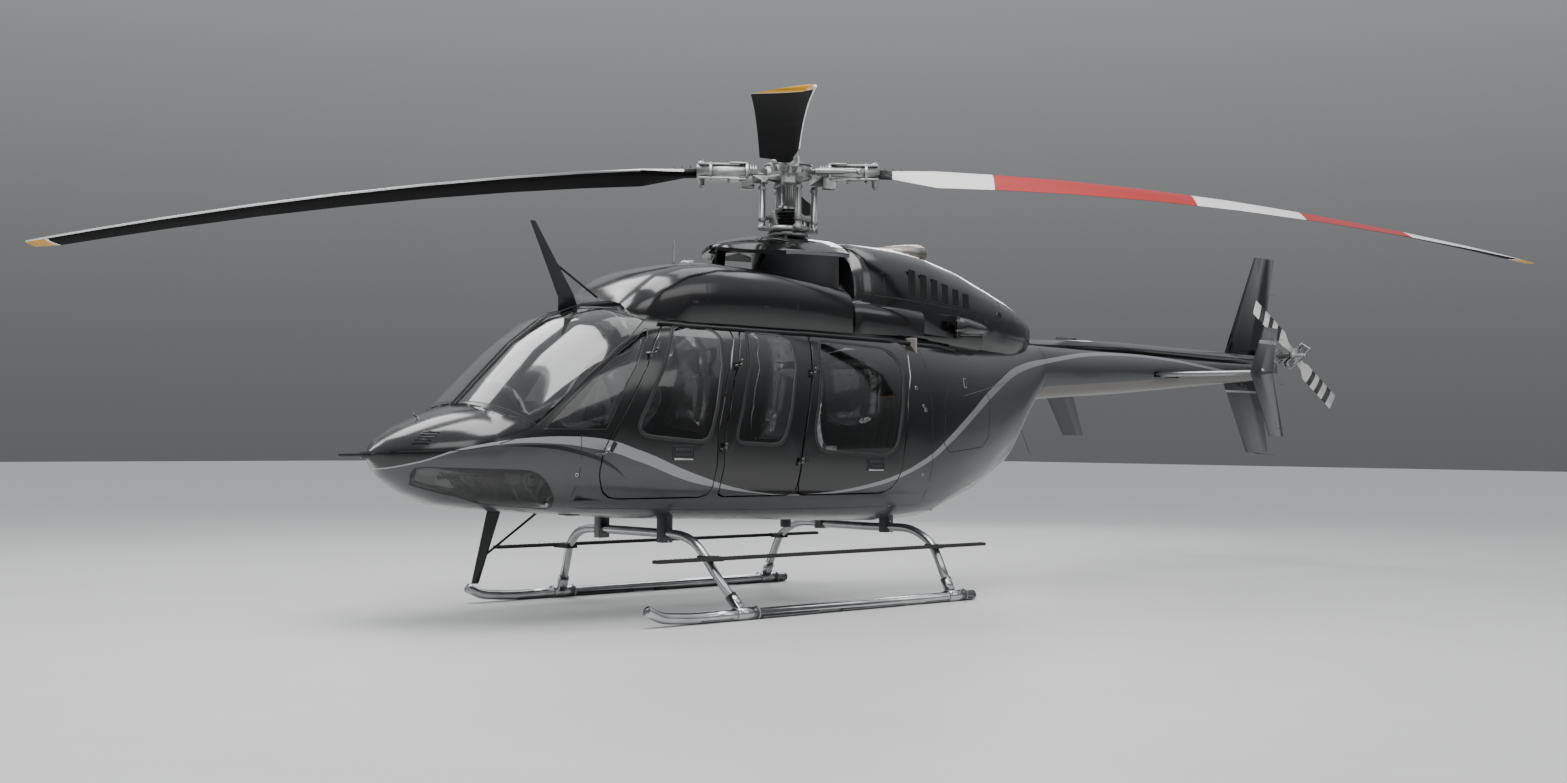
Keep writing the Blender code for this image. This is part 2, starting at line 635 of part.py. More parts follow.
def cowl(name, rows, thickness, look, ends=(0.0, 0.0)):
    """An open-bottomed cover that sits on the body's crown."""
    cover = loft(name, rows, ends=ends, look=look)
    combine(cover, loft("inside", rows, thickness, ends=(ends[0] + thickness, ends[1] - thickness)))
    return combine(cover, loft("seat", BODY_RINGS, -FIT))


def build_cowls():
    roof = cowl("roof_fairing", ROOF_RINGS, SKIN, BLACK_GLOSS)
    combine(roof, cylinder("mast_hole", (MAST_X, 0, 2.1), (MAST_X, 0, 2.5), MAST_HOLE, sides=24))
    whip = cylinder("whip", (-0.98, 0.0, 2.29), (-0.98, 0.0, 2.472), 0.005, sides=8)
    beacon = cylinder("beacon", (-0.86, 0.0, 2.29), (-0.86, 0.0, 2.352), 0.055, sides=18, tip=0.035)
    joined(roof, whip, beacon)

    mast = arched("mast_fairing", MAST_BODY, 0.42, BLACK_GLOSS)
    strut = prism("strut", ((-0.62, 2.20), (-0.55, 2.20), (-0.52, 2.505), (-0.59, 2.48)), -0.014, 0.014)
    joined(mast, arched("plate", MAST_PLATE, 0.026), strut)
    for side in (-1, 1):
        outline = ((-0.530, 2.20), (-0.486, 2.20), (-0.340, 2.46), (-0.384, 2.46))
        joined(mast, prism("side_strut", outline, 0.243 * side, 0.257 * side))
    combine(mast, cylinder("mast_hole", (MAST_X, 0, 2.0), (MAST_X, 0, 2.8), MAST_HOLE, sides=24))
    combine(mast, loft("roof_seat", ROOF_RINGS, -FIT))

    engine = cowl("engine_cowl", COWL_RINGS, SKIN, BLACK_GLOSS)
    sides = loft("side_panel", SIDE_PANEL_RINGS)
    joined(sides, loft("scoop", SCOOP_RINGS))
    combine(sides, loft("cowl_inside", COWL_RINGS, SKIN))
    combine(sides, loft("seat", BODY_RINGS, -FIT))
    joined(engine, sides)
    for side in (-1, 1):
        combine(engine, span_box("scoop_mouth", (1.00, 1.40), (0.445, 0.505), (1.895, 2.080), side))

    rows = ((1.010, 2.530, 0.056, 0.095), (1.130, 2.537, 0.072, 0.125),
            (1.280, 2.550, 0.079, 0.132), (1.410, 2.561, 0.078, 0.130))
    stack = skinned("exhaust_stack", [oval(*row) for row in rows], STEEL)
    combine(stack, skinned("bore", [oval(1.30, 2.575, 0.052, 0.108), oval(1.48, 2.575, 0.052, 0.108)]))
    combine(stack, loft("cowl_seat", COWL_RINGS, -FIT))


def wing(name, rows, look=None):
    """A tapered panel through rows of leading edge point, chord, thickness share and span axis."""
    shape = ((0.0, 0.0), (0.06, 0.6), (0.3, 1.0), (0.6, 0.73), (1.0, 0.07))
    rings = []
    for lead, chord, share, across in rows:
        thick = Vector(across) * chord * share / 2
        upper = [Vector(lead) + Vector((chord * u, 0, 0)) + thick * v for u, v in shape]
        lower = [Vector(lead) + Vector((chord * u, 0, 0)) - thick * v for u, v in reversed(shape[1:])]
        rings.append(upper + lower)
    return skinned(name, rings, look)


def build_tail():
    across = (0, 1, 0)
    fin_y = 0.155
    fin = wing("vertical_fin", (
        ((6.330, fin_y, 1.030), 0.390, 0.10, across),
        ((5.930, fin_y, 1.700), 0.640, 0.11, across),
        ((5.945, fin_y, 1.980), 0.660, 0.11, across),
        ((6.483, fin_y, 2.950), 0.359, 0.10, across),
    ), BLACK_GLOSS)
    foot = bend(((6.42, fin_y, 1.12), (6.45, fin_y, 1.02), (6.82, fin_y, 1.00)), 0.04)
    mount = box("mount", (6.00, 0.0755, 1.77), (6.26, fin_y, 1.85))
    joined(fin, tube("guard", foot, 0.009, sides=1), mount)
    combine(fin, loft("boom_seat", BOOM_RINGS, inset=-FIT, ends=(0, 0.05)))

    up = (0, 0, 1)
    chord, share = 0.385, 0.12
    plane = wing("stabiliser", (
        ((STABILISER_X, -STABILISER_Y, STABILISER_Z), chord, share, up),
        ((STABILISER_X, STABILISER_Y, STABILISER_Z), chord, share, up),
    ), BLACK_GLOSS)
    for side in (-1, 1):
        plate = wing("endplate", (
            ((0.344, 0, 1.182), 0.278, 0.08, across),
            ((0.000, 0, STABILISER_Z), 0.414, 0.07, across),
            ((0.248, 0, 2.113), 0.275, 0.08, across),
        ))
        toe = Matrix.Rotation(-side * radians(ENDPLATE_TOE), 4, "Z")
        plate.data.transform(Matrix.Translation((ENDPLATE_X, side * STABILISER_Y, 0)) @ toe)
        joined(plane, plate)
    half = chord * share / 2 + FIT
    slot = box("slot", (STABILISER_X - 0.02, -0.5, STABILISER_Z - half),
               (STABILISER_X + chord + 0.02, 0.5, STABILISER_Z + half))
    combine(bpy.data.objects["tail_boom"], slot)

    x, z = TAIL_HUB.x, TAIL_HUB.z
    gear = cylinder("tail_gearbox", (x, -0.10, z), (x, 0.105, z), 0.075, STEEL, sides=20)
    shaft = cylinder("housing", (6.331, 0, z), (x, 0, z), 0.05, sides=16)
    base = box("foot", (6.3305, -0.05, 1.80), (x + 0.05, 0.05, z - 0.02))
    joined(gear, shaft, base)


def build_gear():
    shoe = SKID_RADIUS + 0.006
    for side, end in ((-1, "left"), (1, "right")):
        y = SKID_Y * side
        route = bend(((-1.955, y, 0.105), (-1.850, y, 0.055), (-1.62, y, SKID_Z), (-1.0, y, SKID_Z),
                      (0.97, y, SKID_Z)), 0.20)
        skid = tube(f"skid_{end}", route, SKID_RADIUS, BRIGHT, sides=2)
        step = span_box(f"step_{end}", (-1.807, 1.207), STEP_Y, STEP_Z, side, TRIM)
        for path in CROSS_PATHS.values():
            foot, knee = (Vector((x, side * across, z)) for x, across, z in path[:2])
            saddle = cylinder("saddle", (foot.x - 0.06, y, shoe), (foot.x + 0.12, y, shoe), shoe, sides=16)
            socket = cylinder("socket", foot + (foot - knee) * 0.08, foot + (knee - foot) * 0.32,
                              CROSS_RADIUS + 0.008, sides=16)
            joined(skid, saddle, socket)
        for end_name, path in CROSS_PATHS.items():
            level = next(point for point in path if point[2] > STEP_Z[0])
            lug = span_box("lug", (level[0] - 0.042, level[0] + 0.042), (level[1] - 0.04, STEP_Y[0] + 0.02),
                           (STEP_Z[0] - 0.008, STEP_Z[1] + 0.002), side)
            joined(step, lug)
        for end_name in CROSS_PATHS:
            combine(skid, cross_tube("cutter", end_name, CROSS_RADIUS + FIT, reach=FIT))
            combine(step, cross_tube("cutter", end_name, CROSS_RADIUS + FIT, reach=FIT))
    for end_name in CROSS_PATHS:
        cross_tube(f"cross_tube_{end_name}", end_name, CROSS_RADIUS, BRIGHT)


def cross_tube(name, end, radius, look=None, reach=0.0):
    """A bent tube from skid to skid under the belly, lengthened at both feet by reach."""
    half = [Vector((x, -y, z)) for x, y, z in CROSS_PATHS[end]]
    half[0] += (half[0] - half[1]).normalized() * reach
    whole = half + [Vector((p.x, -p.y, p.z)) for p in reversed(half)]
    return tube(name, bend(whole, 0.08, 2), radius, look, sides=2)


def build_belly_clamps():
    """Blocks under the floor that hold the cross tubes."""
    floor = bpy.data.objects["cabin_floor"]
    for end, path in CROSS_PATHS.items():
        x = path[-1][0]
        for side in (-1, 1):
            block = span_box("clamp", (x - 0.038, x + 0.038), (0.305, 0.375), (0.455, 0.640), side)
            combine(block, cross_tube("cutter", end, CROSS_RADIUS + FIT))
            joined(floor, block)
    hook = cylinder("hook_point", (MAST_X, 0.0, 0.50), (MAST_X, 0.0, 0.60), 0.04, sides=16)
    joined(floor, hook)


def seat(name, x, y, width, facing, look=SEAT, pan=0.46, base=FLOOR_Z + FIT, height=1.56):
    """A cushioned seat; facing is 1 for forward and -1 for aft, x is the back's foot."""
    y0, y1 = y - width / 2, y + width / 2
    low, high = sorted((x - facing * pan, x))
    cushion = rounded_box(name, (low, y0, base + 0.20), (high, y1, base + 0.33), 0.03, look)
    stand = box("stand", (low + 0.06, y0 + 0.09, base), (high - 0.04, y1 - 0.09, base + 0.22))
    lean = 0.13 * facing
    back = prism("back", ((x - 0.05, base + 0.24), (x + 0.05, base + 0.24), (x + lean + 0.05, height),
                          (x + lean - 0.05, height)), y0, y1)
    return joined(cushion, stand, back)


def build_interior():
    for end, y in (("left", -0.33), ("right", 0.33)):
        crew = seat(f"crew_seat_{end}", -1.28, y, 0.50, 1)
        joined(crew, box("headrest", (-1.19, y - 0.13, 1.54), (-1.11, y + 0.13, 1.72)))
    seat("middle_seats", -0.93, 0.0, 1.16, -1, pan=0.44, height=1.50)
    seat("rear_bench", 0.58, 0.0, 1.16, 1, pan=0.48, height=1.60)

    console = rounded_box("instrument_console", (-2.38, -0.42, 1.13), (-2.14, 0.42, 1.33), 0.02, TRIM)
    pedestal = box("pedestal", (-2.34, -0.11, FLOOR_Z + FIT), (-1.98, 0.11, 1.16))
    joined(console, pedestal)


def build_power():
    block = rounded_box("transmission", (-0.26, -0.20, 1.95), (0.18, 0.20, 2.165), 0.03, STEEL)
    joined(block, cylinder("mast_base", (MAST_X, 0, 2.14), (MAST_X, 0, MAST_FOOT_Z), 0.11, sides=20))
    combine(block, loft("seat", BODY_RINGS, -FIT))
    engine = cylinder("engine", (0.70, 0, 2.22), (1.70, 0, 2.18), 0.17, STEEL, sides=16)
    joined(engine, box("mounts", (0.95, -0.12, 1.90), (1.40, 0.12, 2.15)))
    combine(engine, loft("seat", BODY_RINGS, -FIT))


def airfoil(chord, thickness):
    """Section points as (along chord from the quarter chord, up), leading edge at plus."""
    shape = ((0.0, 0.0), (0.04, 0.55), (0.25, 1.0), (0.60, 0.66), (1.0, 0.05))
    upper = [((0.25 - u) * chord, v * thickness / 2) for u, v in shape]
    return upper + [(u, -v) for u, v in reversed(upper[1:])]


def blade(name, rows, look, azimuth, centre, normal):
    """A blade along its span: rows are radius, chord, thickness, pitch, rise and forward shift."""
    rings = []
    for radius, chord, thickness, pitch, rise, shift in rows:
        c, s = cos(radians(pitch)), sin(radians(pitch))
        section = [(u + shift, v) for u, v in airfoil(chord, thickness)]
        rings.append([(radius, u * c - v * s, rise + u * s + v * c) for u, v in section])
    made = skinned(name, rings, look)
    turn = Vector((0, 0, 1)).rotation_difference(Vector(normal)).to_matrix().to_4x4()
    place = Matrix.Translation(centre) @ turn @ Matrix.Rotation(radians(azimuth), 4, "Z")
    made.data.transform(place)
    return made


def build_main_rotor():
    hub = Vector((MAST_X, 0, ROTOR_HUB_Z))
    body = cylinder("main_rotor_hub", (MAST_X, 0, MAST_FOOT_Z + FIT), hub + Vector((0, 0, 0.09)),
                    MAST_RADIUS, STEEL, sides=20)
    fixed = [
        cylinder("cap", (0, 0, -0.035), (0, 0, 0.050), 0.17, sides=24),
        cylinder("collar", (0, 0, -0.310), (0, 0, -0.240), 0.066, sides=20),
        cylinder("turning_ring", (0, 0, -0.432), (0, 0, -0.398), 0.165, sides=24),
    ]
    for piece in fixed:
        piece.data.transform(Matrix.Translation(hub))
    driver = [box("drive_arm", (-0.16, -0.035, -0.345), (0.16, 0.035, -0.312))]
    for x in (-0.12, 0.12):
        driver.append(cylinder("drive_post", (x, 0, -0.41), (x, 0, -0.33), 0.018, sides=10))
    for piece in driver:
        piece.data.transform(Matrix.Translation(hub) @ Matrix.Rotation(radians(MAIN_BLADES[1][1]), 4, "Z"))
    joined(body, *fixed, *driver)
    for name, azimuth, droop, power, root_pitch, tip_pitch in MAIN_BLADES:
        pieces = [
            box("yoke", (0.10, -0.060, -0.020), (0.46, 0.060, 0.020)),
            cylinder("grip", (0.285, 0, 0), (GRIP_END, 0, 0), 0.066, sides=14, tip=0.056),
            cylinder("blade_bolt", (0.625, 0, -0.100), (0.625, 0, 0.074), 0.024, sides=10),
            rounded_box("weight", (0.245, -0.050, -0.125), (0.350, 0.050, -0.020), 0.012),
            box("horn", (0.150, -0.020, -0.095), (0.262, 0.105, -0.035)),
            cylinder("link", (LINK[0], LINK[1], -0.060), (LINK[0], LINK[1], -0.430), 0.024, sides=12),
            box("ring_lug", (0.100, 0.040, -0.430), (0.220, 0.102, -0.400)),
        ]
        for piece in pieces:
            piece.data.transform(Matrix.Translation(hub) @ Matrix.Rotation(radians(azimuth), 4, "Z"))
        joined(body, *pieces)
        rows = []
        for radius, chord, thick in MAIN_SECTIONS:
            share = max(radius - 0.35, 0.0) / (ROTOR_RADIUS - 0.35)
            pitch = root_pitch + (tip_pitch - root_pitch) * max(radius - 1.0, 0) / (ROTOR_RADIUS - 1.0)
            shift = 0.25 * (ROTOR_CHORD - chord) if radius > 5.0 else 0.0
            rows.append((radius, chord, thick, pitch, -droop * share ** power, shift))
        blade(name, rows, BLACK_GLOSS, azimuth, hub, (0, 0, 1))

    swash = cylinder("swashplate", (MAST_X, 0, 2.580), (MAST_X, 0, 2.608), 0.150, STEEL, sides=24)
    joined(swash, cylinder("sleeve", (MAST_X, 0, MAST_FOOT_Z + FIT), (MAST_X, 0, 2.595), 0.085, sides=24))
    combine(swash, cylinder("bore", (MAST_X, 0, 2.2), (MAST_X, 0, 2.8), 0.062, sides=24))


def build_tail_rotor():
    out = Vector((0, -1, 0))
    foot = Vector((TAIL_HUB.x, -0.10 - FIT, TAIL_HUB.z))
    hub = cylinder("tail_rotor_hub", foot, TAIL_HUB + out * 0.086, 0.028, STEEL, sides=16)
    joined(hub, cylinder("yoke", TAIL_HUB - out * 0.025, TAIL_HUB + out * 0.025, 0.075, sides=18))
    for k, name in enumerate(("tail_blade_a", "tail_blade_b")):
        rows = ((0.0755, 0.07, 0.030, 6, 0, 0), (0.16, 0.08, 0.024, 6, 0, 0),
                (0.24, TAIL_CHORD, 0.016, 6, 0, 0), (TAIL_RADIUS, TAIL_CHORD, 0.013, 6, 0, 0))
        blade(name, rows, BLACK_GLOSS, -TAIL_REST + 180 * k, TAIL_HUB, out)


def build_cutters():
    outline = ((-1.92, 1.93), (-1.77, 1.95), (-1.81, 2.05), (-2.11, 2.50), (-2.14, 2.50), (-1.92, 2.03))
    upper = prism("wire_cutter_upper", outline, -0.008, 0.008, TRIM)
    brace = cylinder("brace", (-1.98, 0, 2.26), (-1.62, 0, 2.045), 0.008, sides=8)
    joined(upper, brace)
    combine(upper, loft("seat", BODY_RINGS, -FIT))
    combine(upper, loft("seat", ROOF_RINGS, -FIT))
    outline = ((-2.425, 0.71), (-2.340, 0.70), (-2.500, 0.23), (-2.54, 0.23))
    lower = prism("wire_cutter_lower", outline, -0.008, 0.008, TRIM)
    brace = cylinder("brace", (-2.03, 0, 0.68), (-2.47, 0, 0.387), 0.008, sides=8)
    joined(lower, brace)
    combine(lower, loft("seat", BODY_RINGS, -FIT))


build_nose()
build_cabin()
build_doors()
build_aft()
build_drive_cover()
build_cowls()
build_tail()
build_gear()
build_belly_clamps()
build_interior()
build_power()
build_main_rotor()
build_tail_rotor()
build_cutters()

datum = bpy.data.objects.new("station_datum", None)
parts.objects.link(datum)
datum.location = (-MIDDLE_X, 0.0, 0.0)
for piece in parts.objects:
    if piece.parent is None and piece is not datum:
        piece.parent = datum
for piece in parts.objects:
    if piece.type == "MESH":
        piece.data.shade_smooth()
        piece.data.set_sharp_from_angle(angle=radians(35))
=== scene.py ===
import bpy
import bmesh
import json
from bisect import bisect_right
from math import cos, pi, radians, sin
from mathutils import Matrix, Vector
from mathutils.bvhtree import BVHTree

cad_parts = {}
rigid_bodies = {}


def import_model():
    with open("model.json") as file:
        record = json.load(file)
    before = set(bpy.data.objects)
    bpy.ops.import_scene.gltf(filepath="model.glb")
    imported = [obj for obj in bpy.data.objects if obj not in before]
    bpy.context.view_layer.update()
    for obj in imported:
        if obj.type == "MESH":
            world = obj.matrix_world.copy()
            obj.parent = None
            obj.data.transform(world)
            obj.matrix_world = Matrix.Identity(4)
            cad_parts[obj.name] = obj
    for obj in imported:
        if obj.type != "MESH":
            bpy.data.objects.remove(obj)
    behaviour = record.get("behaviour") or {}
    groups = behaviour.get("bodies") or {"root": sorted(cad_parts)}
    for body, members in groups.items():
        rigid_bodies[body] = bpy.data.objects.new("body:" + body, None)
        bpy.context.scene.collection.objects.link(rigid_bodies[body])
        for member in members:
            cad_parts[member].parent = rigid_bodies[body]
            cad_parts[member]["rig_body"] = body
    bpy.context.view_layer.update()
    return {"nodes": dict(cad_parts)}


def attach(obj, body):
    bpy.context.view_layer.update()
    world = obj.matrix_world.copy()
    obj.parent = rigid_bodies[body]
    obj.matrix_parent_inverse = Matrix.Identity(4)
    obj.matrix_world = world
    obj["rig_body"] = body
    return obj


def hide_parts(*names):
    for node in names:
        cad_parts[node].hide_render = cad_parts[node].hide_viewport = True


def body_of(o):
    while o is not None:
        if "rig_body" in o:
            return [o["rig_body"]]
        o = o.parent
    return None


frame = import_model()
nodes = frame["nodes"]
middleX = 1.5726        # the mast's station line starts this far ahead of the frame's origin
print("frame loaded")


# Station coordinates to the frame's own
def station(x, y, z):
    return Vector((x - middleX, y, z))


# Camera, where the photo was taken from
view = {"place": (-8.11, -8.86, 1.133), "look": (0.6767, 0.7357, 0.0273), "up": (-0.0237, -0.0153, 0.9996),
        "lens": 38.54, "sensor": 36, "shift": 0.00075}
cameraData = bpy.data.cameras.new("camera")
cameraData.lens = view["lens"]
cameraData.sensor_width = view["sensor"]
cameraData.clip_end = 200
camera = bpy.data.objects.new("camera", cameraData)
bpy.context.scene.collection.objects.link(camera)
cameraData.shift_y = view["shift"]
look = Vector(view["look"]).normalized()
right = look.cross(Vector(view["up"])).normalized()
turn = Matrix((right, right.cross(look), -look)).transposed().to_4x4()
camera.matrix_world = Matrix.Translation(station(*view["place"])) @ turn
bpy.context.scene.camera = camera


def linear(code):
    channels = [int(code[i:i + 2], 16) / 255 for i in (0, 2, 4)]
    return [c / 12.92 if c <= 0.04045 else ((c + 0.055) / 1.055) ** 2.4 for c in channels] + [1.0]


def addNode(tree, kind, settings=None, links=None):
    node = tree.nodes.new("ShaderNode" + kind)
    for key, value in (settings or {}).items():
        if isinstance(key, int) or key in node.inputs:
            node.inputs[key].default_value = value
        else:
            setattr(node, key, value)
    for key, source in (links or {}).items():
        tree.links.new(source, node.inputs[key])
    return node


def newMaterial(name, settings):
    made = bpy.data.materials.new(name)
    made.use_nodes = True
    tree = made.node_tree
    shader = tree.nodes["Principled BSDF"]
    for key, value in settings.items():
        shader.inputs[key].default_value = value
    place = addNode(tree, "TexCoord").outputs["Object"]
    return made, tree, shader, place


def addBump(tree, shader, height, strength, distance):
    bump = addNode(tree, "Bump", {"Strength": strength, "Distance": distance}, {"Height": height})
    tree.links.new(bump.outputs["Normal"], shader.inputs["Normal"])
    return bump


# Blend of two colours, each a hex code or a socket
def mixColour(tree, factor, first, second):
    node = addNode(tree, "Mix", {"data_type": "RGBA"})
    for index, value in ((6, first), (7, second)):
        if isinstance(value, str):
            node.inputs[index].default_value = linear(value)
        else:
            tree.links.new(value, node.inputs[index])
    tree.links.new(factor, node.inputs[0])
    return node.outputs[2]


def mathNode(tree, operation, first, second=None, third=None, clamp=False):
    node = addNode(tree, "Math", {"operation": operation, "use_clamp": clamp})
    for index, value in enumerate((first, second, third)):
        if isinstance(value, (int, float)):
            node.inputs[index].default_value = value
        elif value is not None:
            tree.links.new(value, node.inputs[index])
    return node.outputs[0]


# 0 below the edge and 1 above it, over a short ramp
def stepUp(tree, value, edge, soft):
    return addNode(tree, "MapRange", {"From Min": edge - soft, "From Max": edge + soft, "clamp": True},
                   {"Value": value}).outputs[0]


# Two-pack polyurethane topcoat, sprayed and clear-coated: deep gloss with faint orange peel.
# Gloss black above a silver line, metallic charcoal below it; fabric-grey headliner on the inside.
livery = {
    "black": "0b0b0c", "charcoal": "3a3b3d", "silver": "a3a5a7", "lining": "6d6b68",
    "fromX": -3.35, "toX": 6.00, "fromZ": 0.50, "toZ": 2.10,
    "line": ((-3.35, 0.900), (-3.104, 0.970), (-2.784, 1.077), (-2.461, 1.114), (-2.081, 1.092), (-1.801, 1.020),
             (-1.312, 0.868), (-0.770, 0.775), (-0.404, 0.756), (0.140, 0.795), (0.716, 0.951), (1.194, 1.205),
             (1.887, 1.558), (2.308, 1.700), (2.930, 1.805), (3.400, 1.862), (3.980, 1.885), (4.600, 1.868),
             (5.110, 1.826), (5.490, 1.791), (6.000, 1.750)),
    # half the silver line's height at stations along the side
    "halfWidth": ((-3.35, 0.004), (-2.9, 0.006), (-2.68, 0.010), (-2.3, 0.024), (-1.9, 0.036), (-1.45, 0.030),
                  (-1.0, 0.010), (-0.6, 0.003), (0.0, 0.010), (0.8, 0.020), (1.5, 0.032), (2.3, 0.026), (3.0, 0.017),
                  (6.0, 0.012)),
    # the dark crescent of painted shade that parts from the silver line behind the chin window, and half its height
    "crescent": ((-3.35, 0.900), (-2.682, 1.073), (-2.481, 1.078), (-2.36, 1.071), (-2.252, 1.050), (-2.134, 1.020),
                 (-2.03, 0.978), (-1.931, 0.923), (-1.862, 0.879), (6.000, 0.60)),
    "crescentHalf": ((-3.35, 0.0), (-2.75, 0.0), (-2.5, 0.006), (-2.3, 0.013), (-2.1, 0.013), (-1.95, 0.009),
                     (-1.85, 0.0), (6.0, 0.0)),
    "flake": 0.0006, "peel": 0.006,
}


def floatCurve(tree, value, points):
    node = addNode(tree, "FloatCurve", {}, {"Value": value})
    curve = node.mapping.curves[0]
    curve.points[0].location = points[0]
    curve.points[1].location = points[-1]
    for point in points[1:-1]:
        curve.points.new(*point)
    node.mapping.update()
    return node.outputs[0]


def paintShop(name, striped, lined, settings):
    made, tree, shader, place = newMaterial(name, settings)
    axes = addNode(tree, "SeparateXYZ", {}, {0: place})
    x, y, z = axes.outputs
    flake = addNode(tree, "TexVoronoi", {"Scale": 1 / livery["flake"]}, {"Vector": place}).outputs["Color"]
    glint = addNode(tree, "SeparateColor", {}, {0: flake}).outputs[0]
    dust = addNode(tree, "TexNoise", {"Scale": 3.0, "Detail": 5.0}, {"Vector": place}).outputs[0]
    base = mixColour(tree, mathNode(tree, "MULTIPLY", dust, 0.5), livery["black"], "141415")
    metal = None
    if striped:
        along = addNode(tree, "MapRange", {"From Min": livery["fromX"] - middleX, "From Max": livery["toX"] - middleX},
                        {"Value": x}).outputs[0]
        span = livery["toX"] - livery["fromX"]
        rise = livery["toZ"] - livery["fromZ"]
        line = floatCurve(tree, along, [((a - livery["fromX"]) / span, (b - livery["fromZ"]) / rise)
                                        for a, b in livery["line"]])
        line = mathNode(tree, "MULTIPLY_ADD", line, rise, livery["fromZ"])
        half = floatCurve(tree, along, [((a - livery["fromX"]) / span, b * 10) for a, b in livery["halfWidth"]])
        off = mathNode(tree, "SUBTRACT", z, line)
        below = mathNode(tree, "LESS_THAN", off, 0.0)
        onLine = mathNode(tree, "LESS_THAN", mathNode(tree, "ABSOLUTE", off), mathNode(tree, "MULTIPLY", half, 0.1))
        grey = mixColour(tree, mathNode(tree, "MULTIPLY", glint, 0.6), livery["charcoal"], "5b5d60")
        silver = mixColour(tree, mathNode(tree, "MULTIPLY", glint, 0.5), livery["silver"], "808285")
        # painted shade: a near-black crescent just under the silver line, parting from it behind the chin window
        dark = floatCurve(tree, along, [((a - livery["fromX"]) / span, (b - livery["fromZ"]) / rise)
                                        for a, b in livery["crescent"]])
        dark = mathNode(tree, "MULTIPLY_ADD", dark, rise, livery["fromZ"])
        paintedShadeHalf = floatCurve(tree, along, [((a - livery["fromX"]) / span, b * 10) for a, b in livery["crescentHalf"]])
        onPaintedShade = mathNode(tree, "LESS_THAN", mathNode(tree, "ABSOLUTE", mathNode(tree, "SUBTRACT", z, dark)),
                          mathNode(tree, "MULTIPLY", paintedShadeHalf, 0.1))
        # charcoal below the line, with the crescent of painted shade in near black
        base = mixColour(tree, below, base, mixColour(tree, onPaintedShade, grey, "101011"))
        base = mixColour(tree, onLine, base, silver)
        metal = mathNode(tree, "MAXIMUM", mathNode(tree, "MULTIPLY", below, 0.4),
                         mathNode(tree, "MULTIPLY", onLine, 0.85))
    rough = addNode(tree, "MapRange", {"To Min": 0.15, "To Max": 0.22}, {"Value": dust}).outputs[0]
    if striped:
        rough = mathNode(tree, "MULTIPLY_ADD", metal, 0.4, rough)
    if lined:
        # the inner faces look towards the cabin's middle line
        face = addNode(tree, "NewGeometry").outputs["Normal"]
        middleZ = mathNode(tree, "MULTIPLY_ADD", mathNode(tree, "LESS_THAN", x, -2.62 - middleX), -0.28, 1.25)
        outward = addNode(tree, "CombineXYZ", {0: 0.0}, {1: y, 2: mathNode(tree, "SUBTRACT", z, middleZ)}).outputs[0]
        lean = addNode(tree, "VectorMath", {"operation": "DOT_PRODUCT"}, {0: face, 1: outward}).outputs["Value"]
        inside = mathNode(tree, "LESS_THAN", lean, -0.02)
        base = mixColour(tree, inside, base, livery["lining"])
        rough = mathNode(tree, "MAXIMUM", rough, mathNode(tree, "MULTIPLY", inside, 0.9))
        if metal is not None:
            metal = mathNode(tree, "MULTIPLY", metal, mathNode(tree, "SUBTRACT", 1.0, inside))
    if metal is not None:
        tree.links.new(metal, shader.inputs["Metallic"])
    tree.links.new(base, shader.inputs["Base Color"])
    tree.links.new(rough, shader.inputs["Roughness"])
    peel = addNode(tree, "TexNoise", {"Scale": 1 / livery["peel"], "Detail": 1.0}, {"Vector": place}).outputs[0]
    addBump(tree, shader, peel, 0.05, 0.0004)
    return made


bodyPaint = paintShop("polyurethane_body_paint", True, True, {"Coat Weight": 0.45, "Coat Roughness": 0.14})
blackPaint = paintShop("polyurethane_black_paint", False, False, {"Coat Weight": 0.6, "Coat Roughness": 0.14})


# The same paint on the fins: black at the top, a silver band, charcoal at the bottom
def finPaint(name, bandZ, bandHeight):
    made, tree, shader, place = newMaterial(name, {"Coat Weight": 0.5, "Coat Roughness": 0.05})
    z = addNode(tree, "SeparateXYZ", {}, {0: place}).outputs[2]
    flake = addNode(tree, "TexVoronoi", {"Scale": 1 / livery["flake"]}, {"Vector": place}).outputs["Color"]
    glint = addNode(tree, "SeparateColor", {}, {0: flake}).outputs[0]
    below = mathNode(tree, "LESS_THAN", z, bandZ)
    onBand = mathNode(tree, "COMPARE", z, bandZ, bandHeight / 2)
    grey = mixColour(tree, mathNode(tree, "MULTIPLY", glint, 0.6), livery["charcoal"], "5b5d60")
    base = mixColour(tree, below, livery["black"], grey)
    tree.links.new(mixColour(tree, onBand, base, livery["silver"]), shader.inputs["Base Color"])
    metal = mathNode(tree, "MAXIMUM", mathNode(tree, "MULTIPLY", below, 0.7), mathNode(tree, "MULTIPLY", onBand, 0.8))
    tree.links.new(metal, shader.inputs["Metallic"])
    tree.links.new(mathNode(tree, "MULTIPLY_ADD", metal, 0.25, 0.14), shader.inputs["Roughness"])
    peel = addNode(tree, "TexNoise", {"Scale": 1 / livery["peel"], "Detail": 1.0}, {"Vector": place}).outputs[0]
    addBump(tree, shader, peel, 0.05, 0.0004)
    return made


# Stretched acrylic sheet, smoke tinted and polished: clear, dark, with faint dust
def smokedAcrylic(name, polish):
    made, tree, shader, place = newMaterial(name, {
        "Base Color": linear("8f9191"), "Roughness": 0.02, "IOR": 1.49, "Transmission Weight": 1.0,
        "Specular IOR Level": 0.15, "Coat Weight": polish, "Coat Roughness": 0.10})
    dust = addNode(tree, "TexNoise", {"Scale": 9.0, "Detail": 6.0}, {"Vector": place}).outputs[0]
    rough = addNode(tree, "MapRange", {"From Min": 0.45, "From Max": 0.8, "To Min": 0.01, "To Max": 0.06},
                    {"Value": dust}).outputs[0]
    tree.links.new(rough, shader.inputs["Roughness"])
    return made


